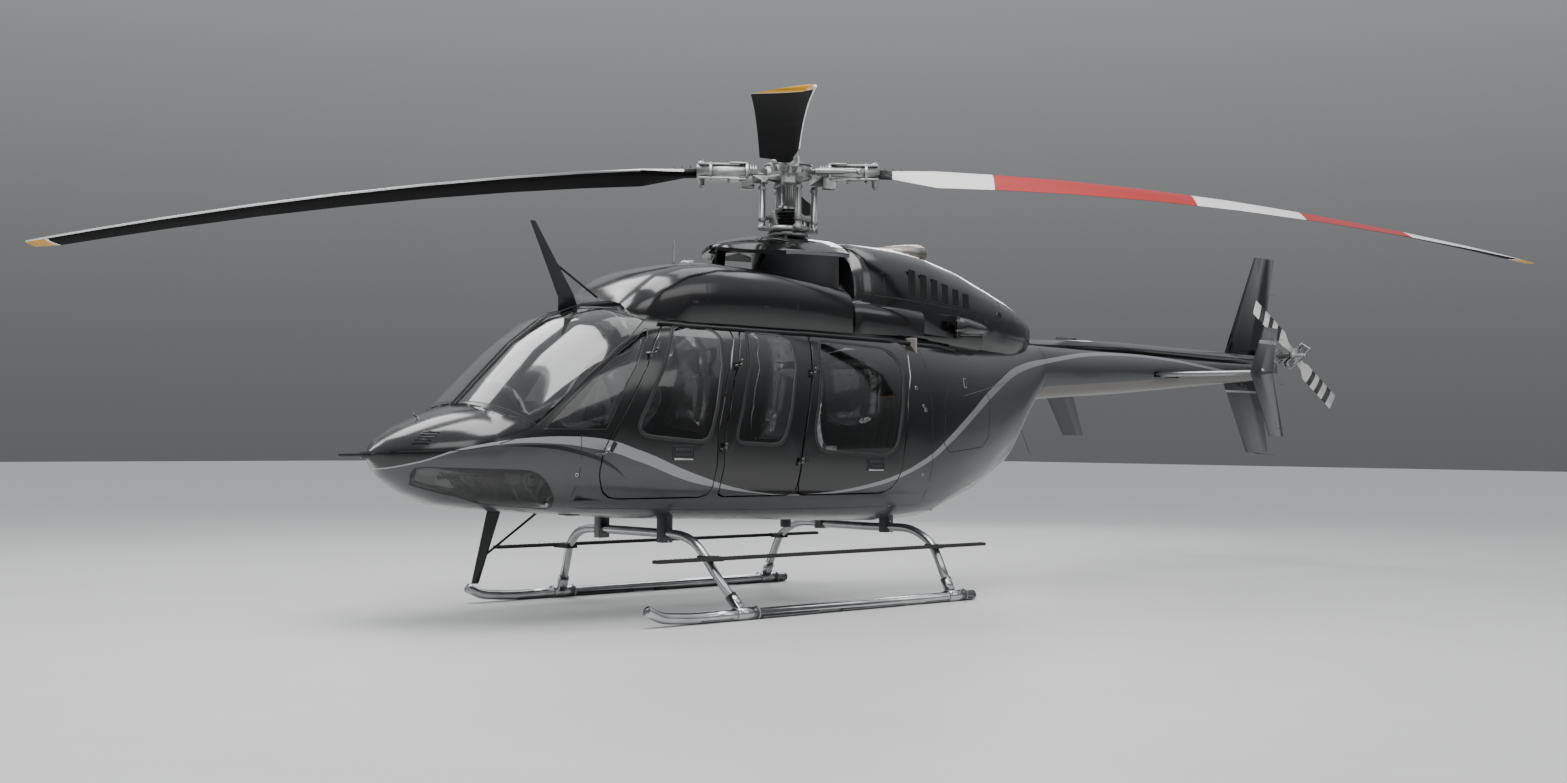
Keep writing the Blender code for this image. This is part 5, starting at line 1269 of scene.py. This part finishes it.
# Tail rotor: pitch links, crosshead, blade bolts
tail = {"hub": (6.511, -0.274, 1.967), "rest": 28.8}
tailHub = station(*tail["hub"])
bm = bmesh.new()
bolts = bmesh.new()
axle = seated(tailHub, Vector((0, -1, 0)), (1, 0, 0))
rod(bm, axle @ Vector((0, 0, 0.086)), axle @ Vector((0, 0, 0.118)), 0.021, 0.015, 16)
for k in range(2):
    turn = axle @ Matrix.Rotation(radians(tail["rest"] + 180 * k), 4, "Z")
    block(bm, turn, (0.150, 0.030, 0.014), (0.060, 0, 0.098), 0.004, 2)
    rod(bm, turn @ Vector((0.128, 0.012, 0.094)), turn @ Vector((0.150, 0.052, 0.014)), 0.008, sides=10)
    ball(bm, turn @ Vector((0.128, 0.012, 0.094)), 0.014)
    ball(bm, turn @ Vector((0.150, 0.052, 0.014)), 0.014)
    block(bm, turn, (0.050, 0.060, 0.022), (0.150, 0.030, 0.004), 0.004)
    block(bm, turn, (0.130, 0.064, 0.010), (0.130, 0, 0.024), 0.004)
    block(bm, turn, (0.130, 0.064, 0.010), (0.130, 0, -0.024), 0.004)
    for x in (0.092, 0.150, 0.185):
        for z, flip in ((0.029, 0), (-0.029, pi)):
            stamp(bolts, boltHead, turn @ Matrix.Translation((x, 0, z)) @ Matrix.Rotation(flip, 4, "X") @ Matrix.Scale(0.7, 4))
finished("tail_rotor_controls", bm, forgedHub, "tail_rotor")
finished("tail_rotor_bolts", bolts, stainless, "tail_rotor", merge=False)
bm = bmesh.new()
for k in range(8):
    c, s = cos(2 * pi * k / 8), sin(2 * pi * k / 8)
    for y, way in ((0.106, 1), (-0.101, -1)):
        place = station(tail["hub"][0] + 0.060 * c, y, tail["hub"][2] + 0.060 * s)
        stamp(bm, boltHead, seated(place, Vector((0, way, 0)), (1, 0, 0)) @ Matrix.Scale(0.6, 4))
for y in (-0.055, -0.020, 0.020, 0.060):
    centre = station(tail["hub"][0], y, tail["hub"][2])
    ring = [centre + Vector((0.075 * cos(2 * pi * k / 26), 0, 0.075 * sin(2 * pi * k / 26))) for k in range(26)]
    sweep(bm, ring, [(p - centre).normalized() for p in ring],
          ((-0.003, -0.004), (-0.002, 0.007), (0.002, 0.007), (0.003, -0.004)), True)
rod(bm, station(6.36, -0.035, 1.850), station(6.50, -0.075, 1.900), 0.008, sides=10)
finished("tail_gearbox_fittings", bm, castCase, "airframe")

# Lights and static wicks on the fins
bm = bmesh.new()
lens = bmesh.new()
for side in (-1, 1):
    place = station(4.50, side * 1.150, 1.745)
    ball(lens, place, 0.011, (2.2, 0.6, 1.0))
    for k in range(3):
        z = 1.25 + 0.38 * k
        roundTube(bm, [station(4.74 - 0.03 * abs(k - 1), side * 1.160, z), station(4.80, side * 1.166, z)], 0.0022, 5)
ball(lens, station(6.66, 0.155, 2.925), 0.018, (1.4, 0.7, 0.7))
for z in (2.30, 2.60):
    roundTube(bm, [station(6.60 + (z - 2.3) * 0.5, 0.155, z), station(6.68 + (z - 2.3) * 0.5, 0.155, z)], 0.0022, 5)
finished("static_wicks", bm, satinBlack, "airframe")
finished("position_light_lenses", lens, clearLens, "airframe")
print("tail done")


# A cushion: a box of the given size, swelled, subdivided and channelled
def cushionMesh(name, size, cap, channels, voxel=0.016, pressure=4.0):
    bm = bmesh.new()
    block(bm, Matrix(), [s - 0.016 for s in size], bevel=min(size) * 0.28, segments=2)
    mesh = bpy.data.meshes.new(name)
    bm.to_mesh(mesh)
    bm.free()
    pad = bpy.data.objects.new(name, mesh)
    bpy.context.scene.collection.objects.link(pad)
    remesh = pad.modifiers.new("remesh", "REMESH")
    remesh.mode = "VOXEL"
    remesh.voxel_size = voxel
    pad.data = bpy.data.meshes.new_from_object(pad.evaluated_get(bpy.context.evaluated_depsgraph_get()))
    pad.modifiers.clear()
    start = [v.co.copy() for v in pad.data.vertices]
    cloth = pad.modifiers.new("cloth", "CLOTH")
    cloth.settings.use_pressure = True
    cloth.settings.uniform_pressure_force = pressure
    cloth.settings.effector_weights.gravity = 0.0
    cloth.settings.tension_stiffness = 12
    cloth.settings.compression_stiffness = 12
    cloth.point_cache.frame_end = 20
    for number in range(1, 21):
        bpy.context.scene.frame_set(number)
    pad.data = bpy.data.meshes.new_from_object(pad.evaluated_get(bpy.context.evaluated_depsgraph_get()))
    pad.modifiers.clear()
    bpy.context.scene.frame_set(1)
    for v, first in zip(pad.data.vertices, start):
        move = v.co - first
        if move.length > cap:
            v.co = first + move.normalized() * cap
    bm = bmesh.new()
    bm.from_mesh(pad.data)
    bmesh.ops.subdivide_edges(bm, edges=bm.edges, cuts=1, use_grid_fill=True, smooth=0.6)
    half = [s / 2 for s in size]
    for v in bm.verts:
        for axis in range(3):
            v.co[axis] = min(max(v.co[axis], -half[axis] - 0.004), half[axis] + 0.004)
    # sewn channels pinch the two broad faces along lines across the pad
    for v in bm.verts:
        for axis, spot in channels:
            near = abs(v.co[axis] - spot)
            if near < 0.03 and abs(v.co.z) > half[2] * 0.3:
                v.co.z -= (1 if v.co.z > 0 else -1) * 0.010 * (1 - near / 0.03) ** 2
    bm.to_mesh(pad.data)
    bm.free()
    made = pad.data
    bpy.data.objects.remove(pad, do_unlink=True)
    return made


def padPiece(name, mesh, matrix, cadName):
    copy = mesh.copy()
    copy.transform(matrix)
    copy.materials.clear()
    copy.materials.append(seatLeather)
    copy.shade_smooth()
    copy.name = name
    piece = bpy.data.objects.new(name, copy)
    bpy.context.scene.collection.objects.link(piece)
    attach(piece, "airframe")
    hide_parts(cadName)
    return piece


# Piping sewn round the face of a pad, following its rounded outline
def piping(bm, matrix, size, z):
    corners = []
    for sx, sy in ((-1, -1), (1, -1), (1, 1), (-1, 1)):
        corners.append(Vector((sx * (size[0] / 2 - 0.010), sy * (size[1] / 2 - 0.010), z)))
    points = bent(corners + corners[:1] + corners[1:2], 0.035, 4)[1:]
    points = points[:-1]
    roundTube(bm, [matrix @ p for p in points], 0.0042, 6)


floorZ = 0.7453
# Seats: name, CAD node, foot of the back (x), middles (y), cushion width, facing, pan depth, back's top
seatRows = (
    ("crew_left", "crew_seat_left", -1.28, (-0.33,), 0.50, 1, 0.46, 1.56, True),
    ("crew_right", "crew_seat_right", -1.28, (0.33,), 0.50, 1, 0.46, 1.56, True),
    ("middle", "middle_seats", -0.93, (-0.29, 0.29), 0.575, -1, 0.44, 1.50, False),
    ("rear", "rear_bench", 0.58, (-0.387, 0.0, 0.387), 0.380, 1, 0.48, 1.60, False),
)
padMeshes = {}
for name, cadName, foot, middles, width, facing, pan, top, crew in seatRows:
    slim = width - 0.012
    kind = name.split("_")[0]
    if kind not in padMeshes:
        tall = top - (floorZ + 0.35)
        padMeshes[kind] = (
            cushionMesh(kind + "_cushion_form", (pan - 0.02, slim, 0.125), 0.016,
                        ((0, -pan * 0.17), (0, pan * 0.17))),
            cushionMesh(kind + "_back_form", (tall, slim, 0.095), 0.014,
                        ((0, -tall * 0.22), (0, tall * 0.02), (0, tall * 0.26))),
            cushionMesh(kind + "_head_form", (0.150, 0.245, 0.074), 0.010, ()) if crew else None, tall)
    cushion, back, head, tall = padMeshes[kind]
    trim = bmesh.new()
    frameParts = bmesh.new()
    belts = bmesh.new()
    buckles = bmesh.new()
    for number, y in enumerate(middles):
        tag = f"{name}_{number}"
        rise = Vector((0.13 * facing, 0, top - floorZ - 0.24)).normalized()
        face = Vector((-facing * rise.z, 0, facing * rise.x))
        seatPlace = Matrix.Translation(station(foot - facing * (pan / 2 + 0.005), y, floorZ + 0.262))
        middle = station(foot, y, floorZ + 0.24) + rise * (0.125 + tall / 2)
        lean = seated(middle, face, rise)
        padPiece(f"{tag}_cushion", cushion, seatPlace, cadName)
        padPiece(f"{tag}_backrest", back, lean, cadName)
        piping(trim, seatPlace, (pan - 0.02, slim), 0.052)
        piping(trim, lean, (tall, slim), 0.040)
        if crew:
            headPlace = seated(station(-1.150, y, 1.632), Vector((-1, 0, 0)), (0, 0, 1))
            padPiece(f"{tag}_headrest", head, headPlace, cadName)
            for side in (-0.06, 0.06):
                rod(frameParts, station(-1.140, y + side, 1.500), station(-1.148, y + side, 1.600), 0.007, sides=10)
        # tube frame under the cushion, on floor tracks
        low, high = sorted((foot - facing * pan, foot))
        for side in (-1, 1):
            run = y + side * (width / 2 - 0.085)
            leg = [station(low + 0.07, run, floorZ + 0.012), station(low + 0.07, run, floorZ + 0.175),
                   station(high - 0.05, run, floorZ + 0.175), station(high - 0.05, run, floorZ + 0.012)]
            roundTube(frameParts, bent(leg, 0.05), 0.014, 10)
            block(frameParts, Matrix.Translation(station((low + high) / 2, run, floorZ + 0.008)),
                  (pan - 0.02, 0.034, 0.014), bevel=0.004)
        for x in (low + 0.10, high - 0.10):
            rod(frameParts, station(x, y - width / 2 + 0.085, floorZ + 0.165),
                station(x, y + width / 2 - 0.085, floorZ + 0.165), 0.011, sides=10)
        # pan under the cushion and shell behind the back
        block(frameParts, Matrix.Translation(station((low + high) / 2, y, floorZ + 0.196)),
              (pan - 0.05, width - 0.05, 0.016), bevel=0.006)
        shellPlace = seated(middle - face * 0.046, face, rise)
        block(frameParts, shellPlace, (tall - 0.04, width - 0.05, 0.010), bevel=0.004)
        # lap belt in two halves that meet at the buckle, and shoulder straps on the crew seats
        for side in (-1, 1):
            hip = station(foot - facing * 0.03, y + side * (width / 2 - 0.055), floorZ + 0.335)
            lap = station(foot - facing * 0.20, y + side * 0.10, floorZ + 0.345)
            end = station(foot - facing * 0.22, y + side * 0.025, floorZ + 0.345)
            points = bent([hip, lap, end], 0.08, 6)
            sweep(belts, points, [Vector((-facing * 0.15, 0, 1)).normalized()] * len(points),
                  ((-0.023, 0.0), (-0.023, 0.003), (0.023, 0.003), (0.023, 0.0)))
            crossing = 0.072
            shoulder = station(foot, y + side * crossing, floorZ + 0.24) + rise * (0.125 + tall - 0.015) + face * 0.052
            waist = station(foot, y + side * crossing * 0.8, floorZ + 0.24) + rise * 0.16 + face * 0.058
            mid = station(foot, y + side * crossing, floorZ + 0.24) + rise * (0.125 + tall * 0.5) + face * 0.060
            over = shoulder - face * 0.085 + rise * 0.018
            points = bent([over, shoulder + rise * 0.012, mid, waist, end + Vector((0, 0, 0.004))], 0.06, 5)
            normals = []
            for p in points:
                share = min(max((p.z - floorZ - 0.36) / 0.06, 0.0), 1.0)
                normals.append((face * share + Vector((0, 0, 1)) * (1 - share)).normalized())
            normals[0] = (face * 0.2 + rise).normalized()
            sweep(belts, points, normals, ((-0.020, 0.0), (-0.020, 0.003), (0.020, 0.003), (0.020, 0.0)))
        block(buckles, Matrix.Translation(station(foot - facing * 0.22, y, floorZ + 0.350)), (0.055, 0.062, 0.022),
              bevel=0.008, segments=2)
        rod(buckles, station(foot - facing * 0.22, y, floorZ + 0.355), station(foot - facing * 0.22, y, floorZ + 0.368),
            0.020, 0.018, 20)
    finished(name + "_piping", trim, blackRubber, "airframe")
    finished(name + "_seat_frame", frameParts, satinBlack, "airframe")
    finished(name + "_belts", belts, webbing, "airframe")
    finished(name + "_buckles", buckles, stainless, "airframe")
print("seats done")

# Cockpit: glareshield, displays, round gauges, switch rows, radios, sticks, levers and pedals
bm = bmesh.new()
glassParts = bmesh.new()
knobs = bmesh.new()
marks = bmesh.new()
panelX = -2.138
profileHood = ((-2.40, 1.318), (-2.385, 1.338), (-2.20, 1.352), (-2.085, 1.340), (-2.075, 1.322), (-2.100, 1.318))
rings = []
for y in (-0.435, -0.400, -0.30, 0.30, 0.400, 0.435):
    drop = 0.030 if abs(y) > 0.42 else 0.008 if abs(y) > 0.35 else 0.0
    rings.append([bm.verts.new(station(x, y, z - drop)) for x, z in profileHood])
for near, far in zip(rings, rings[1:]):
    for k in range(len(profileHood)):
        j = (k + 1) % len(profileHood)
        bm.faces.new((near[k], near[j], far[j], far[k]))
bm.faces.new(rings[0])
bm.faces.new(rings[-1])
for y in (-0.275, 0.275):
    plate = seated(station(panelX, y, 1.232), Vector((1, 0, 0)), (0, -1, 0))
    block(bm, plate, (0.225, 0.172, 0.016), (0, 0, 0.004), 0.004, 2)
    block(glassParts, plate, (0.180, 0.136, 0.004), (0, 0, 0.013), 0.001)
    for k in range(6):
        for edge in (-1, 1):
            block(knobs, plate, (0.014, 0.010, 0.006), (edge * 0.101, -0.055 + 0.022 * k, 0.014), 0.002)
    for k in range(2):
        rod(knobs, plate @ Vector((0.085 - 0.17 * k, -0.079, 0.010)), plate @ Vector((0.085 - 0.17 * k, -0.079, 0.030)),
            0.0085, 0.0075, 16)
for row, z in enumerate((1.275, 1.200)):
    for k in range(3):
        y = -0.085 + 0.085 * k
        gauge = seated(station(panelX, y, z), Vector((1, 0, 0)), (0, -1, 0))
        ring = [gauge @ Vector((0.032 * cos(2 * pi * j / 24), 0.032 * sin(2 * pi * j / 24), 0.002)) for j in range(24)]
        sweep(bm, ring, [Vector((1, 0, 0))] * 24, ((-0.004, -0.004), (-0.003, 0.010), (0.003, 0.010), (0.005, -0.004)), True)
        rod(glassParts, gauge @ Vector((0, 0, -0.002)), gauge @ Vector((0, 0, 0.004)), 0.029, sides=24)
        for j in range(10):
            a = radians(-130 + 26 * j)
            mark = gauge @ Matrix.Rotation(a, 4, "Z")
            block(marks, mark, (0.0014, 0.006, 0.0008), (0, 0.0235, 0.0046))
        block(marks, gauge @ Matrix.Rotation(radians(40 + 50 * k - 30 * row), 4, "Z"), (0.0020, 0.020, 0.001),
              (0, 0.008, 0.0052))
for k in range(14):
    y = -0.39 + 0.06 * k
    toggle = seated(station(panelX, y, 1.148), Vector((1, 0, 0)), (0, -1, 0))
    rod(knobs, toggle @ Vector((0, 0, 0.0)), toggle @ Vector((0, 0, 0.006)), 0.006, sides=6)
    rod(knobs, toggle @ Vector((0, 0, 0.004)), toggle @ Vector((0, 0.008, 0.020)), 0.0022, 0.0034, 8)
for row in range(4):
    radio = seated(station(-1.978, 0.0, 0.865 + 0.078 * row), Vector((1, 0, 0)), (0, -1, 0))
    block(bm, radio, (0.200, 0.068, 0.010), (0, 0, 0.004), 0.003)
    block(glassParts, radio, (0.085, 0.022, 0.003), (0, 0.012, 0.010), 0.0008)
    for k in range(2):
        rod(knobs, radio @ Vector((0.078 - 0.156 * k, -0.002, 0.008)), radio @ Vector((0.078 - 0.156 * k, -0.002, 0.026)),
            0.012, 0.010, 16)
    for k in range(6):
        block(knobs, radio, (0.013, 0.009, 0.006), (-0.045 + 0.018 * k, -0.020, 0.011), 0.002)
finished("panel_bezels", bm, crinkleEnamel, "airframe")
finished("panel_displays", glassParts, displayGlass, "airframe")
finished("panel_knobs", knobs, mouldedTrim, "airframe")
finished("panel_markings", marks, markingInk, "airframe")

sticks = bmesh.new()
grips = bmesh.new()
pedals = bmesh.new()
for y in (-0.33, 0.33):
    stem = bent([station(-1.86, y, floorZ), station(-1.86, y, 0.93), station(-1.80, y, 1.02), station(-1.83, y, 1.10)],
                0.09, 6)
    roundTube(sticks, stem, 0.013, 12)
    rod(grips, station(-1.86, y, floorZ), station(-1.86, y, floorZ + 0.055), 0.048, 0.020, 20)
    roundTube(grips, bent([station(-1.826, y, 1.085), station(-1.835, y, 1.150), station(-1.850, y, 1.215)], 0.04, 4),
              0.0195, 12)
    ball(grips, station(-1.852, y, 1.225), 0.024, (1.1, 1.0, 0.9))
    block(grips, Matrix.Translation(station(-1.862, y, 1.215)) @ Matrix.Rotation(radians(-20), 4, "Y"),
          (0.030, 0.036, 0.034), bevel=0.008, segments=2)
    lever = y - 0.275 if y < 0 else y - 0.30
    lever = max(min(lever, 0.03), -0.60)
    roundTube(sticks, bent([station(-1.36, lever, floorZ + 0.06), station(-1.52, lever, floorZ + 0.13),
                            station(-1.74, lever, floorZ + 0.30)], 0.08, 4), 0.012, 12)
    roundTube(grips, [station(-1.65, lever, floorZ + 0.232), station(-1.76, lever, floorZ + 0.315)], 0.021, 12)
    for side in (-0.085, 0.085):
        foot = station(-2.44, y + side, 0.835)
        roundTube(pedals, bent([station(-2.30, y + side, 0.72), station(-2.36, y + side, 0.735), foot,
                                station(-2.470, y + side, 0.900)], 0.04, 4), 0.009, 10)
        plate = seated(station(-2.455, y + side, 0.885), Vector((1, 0, 0.45)).normalized(), (0, 1, 0))
        block(pedals, plate, (0.095, 0.105, 0.008), bevel=0.003)
        for k in range(5):
            block(pedals, plate, (0.090, 0.006, 0.005), (0, -0.040 + 0.020 * k, 0.006), 0.001)
    roundTube(pedals, [station(-2.315, y - 0.13, 0.722), station(-2.315, y + 0.13, 0.722)], 0.013, 12)
finished("control_sticks", sticks, forgedHub, "airframe")
finished("control_grips", grips, mouldedTrim, "airframe")
# pedal linkage behind each chin window: a cross rod, two drop rods and their foot
for side in (-1, 1):
    y = 0.37 * side
    rod(pedals, station(-2.550, y, 0.868), station(-2.300, y, 0.862), 0.011)
    rod(pedals, station(-2.350, y, 0.835), station(-2.360, y, 0.765), 0.010)
    rod(pedals, station(-2.300, y, 0.858), station(-2.305, y, 0.722), 0.013)
    block(pedals, Matrix.Translation(station(-2.260, y, 0.718)), (0.150, 0.030, 0.012), bevel=0.003)
    for x in (-2.550, -2.420):
        ball(pedals, station(x, y, 0.866), 0.018)
finished("pedals", pedals, stainless, "airframe")

# Gas strut on the inside of each passenger door, with its end block
for side, end in ((-1, "left"), (1, "right")):
    bm = bmesh.new()
    rod(bm, station(-0.100, side * 0.550, 1.740), station(0.240, side * 0.580, 1.650), 0.014, sides=16)
    rod(bm, station(0.240, side * 0.580, 1.650), station(0.475, side * 0.605, 1.588), 0.007)
    block(bm, Matrix.Translation(station(0.490, side * 0.605, 1.578)), (0.050, 0.022, 0.040), bevel=0.005)
    finished(f"passenger_door_{end}_gas_strut", bm, satinBlack, f"passenger_door_{end}")

# Cabin floor carpets, bulkhead lining and the overhead panel
bm = bmesh.new()
for low, high, half in ((-2.16, -1.30, 0.56), (-0.88, 0.04, 0.60), (-1.26, -0.99, 0.60)):
    block(bm, Matrix.Translation(station((low + high) / 2, 0, floorZ + 0.0035)), (high - low, half * 2, 0.007), bevel=0.003)
finished("floor_carpets", bm, floorCarpet, "airframe")
bm = bmesh.new()
block(bm, Matrix.Translation(station(0.815, 0, 1.33)), (0.016, 1.16, 1.08), bevel=0.006)
for z in (1.00, 1.32, 1.64):
    block(bm, Matrix.Translation(station(0.804, 0, z)), (0.010, 1.10, 0.018), bevel=0.004)
finished("rear_lining", bm, liningFelt, "airframe")
bm = bmesh.new()
block(bm, Matrix.Translation(station(-1.62, 0, 1.895)), (0.30, 0.26, 0.045), bevel=0.014, segments=2)
for row in range(3):
    for k in range(6):
        x, y = -1.70 + 0.08 * row, -0.10 + 0.04 * k
        rod(bm, station(x, y, 1.874), station(x + 0.006, y, 1.858), 0.0030, 0.0045, 8)
finished("overhead_panel", bm, crinkleEnamel, "airframe")
bm = bmesh.new()
# the upright frames between the cabins
for side in (-1, 1):
    roundTube(bm, bent([station(-1.03, side * 0.60, floorZ), station(-1.03, side * 0.62, 1.50),
                        station(-1.03, side * 0.50, 1.88), station(-1.03, side * 0.20, 1.93)], 0.14, 6), 0.016, 10)
roundTube(bm, [station(-1.03, -0.56, 1.50), station(-1.03, 0.56, 1.50)], 0.014, 10)
finished("cabin_hoops", bm, satinBlack, "airframe")
print("cabin done")


# Floor, studio lights and a pale room
studio = {
    "floor": "d8d8d6", "eyeLevel": (-0.05, 0.16), "overhead": (0.80, 1.05),
    "lamps": (((-9.0, -8.5, 6.5), (-1.5, 0.0, 1.2), (6.0, 4.0), 200),
              ((2.0, -11.0, 7.0), (1.5, 0.0, 1.5), (9.0, 4.0), 170),
              ((2.6, -0.5, 8.5), (2.6, 0.0, 2.0), (5.0, 5.0), 150),
              ((-2.6, -1.6, 8.5), (-2.6, -0.6, 1.2), (3.2, 8.5), 700),
              ((-2.4, 5.8, 8.0), (-2.4, 0.0, 1.6), (5.0, 3.0), 240),
              ((8.0, 6.0, 5.0), (1.0, 0.0, 1.5), (4.0, 3.0), 200)),
}
bm = bmesh.new()
bmesh.ops.create_grid(bm, x_segments=1, y_segments=1, size=60)
floorMesh = bpy.data.meshes.new("floor")
bm.to_mesh(floorMesh)
bm.free()
floor = bpy.data.objects.new("floor", floorMesh)
bpy.context.scene.collection.objects.link(floor)
floorPaint, tree, shader, place = newMaterial("painted_studio_floor", {"Roughness": 0.5})
mottle = addNode(tree, "TexNoise", {"Scale": 1.5, "Detail": 6.0}, {"Vector": place}).outputs[0]
tree.links.new(mixColour(tree, mottle, studio["floor"], "cfcfcd"), shader.inputs["Base Color"])
floorMesh.materials.append(floorPaint)
world = bpy.data.worlds.new("room")
world.use_nodes = True
# the room is dim at eye level and bright overhead, so that tops of curves shine and sides stay dark
sky = world.node_tree.nodes["Background"]
sky.inputs[0].default_value = linear("dfe2e6")
height = addNode(world.node_tree, "SeparateXYZ", {}, {0: addNode(world.node_tree, "TexCoord").outputs["Generated"]})
rise = addNode(world.node_tree, "MapRange", {"interpolation_type": "SMOOTHSTEP", "From Min": studio["eyeLevel"][0],
                                             "From Max": studio["overhead"][0], "To Min": studio["eyeLevel"][1],
                                             "To Max": studio["overhead"][1]}, {"Value": height.outputs[2]})
world.node_tree.links.new(rise.outputs[0], sky.inputs[1])
bpy.context.scene.world = world
for number, (place, aim, size, power) in enumerate(studio["lamps"]):
    lampData = bpy.data.lights.new(f"softbox{number}", "AREA")
    lampData.shape = "RECTANGLE"
    lampData.size, lampData.size_y = size
    lampData.energy = power
    lamp = bpy.data.objects.new(f"softbox{number}", lampData)
    bpy.context.scene.collection.objects.link(lamp)
    lamp.location = station(*place)
    lamp.rotation_euler = (Vector(aim) - Vector(place)).to_track_quat("-Z", "Y").to_euler()
print("studio lit")
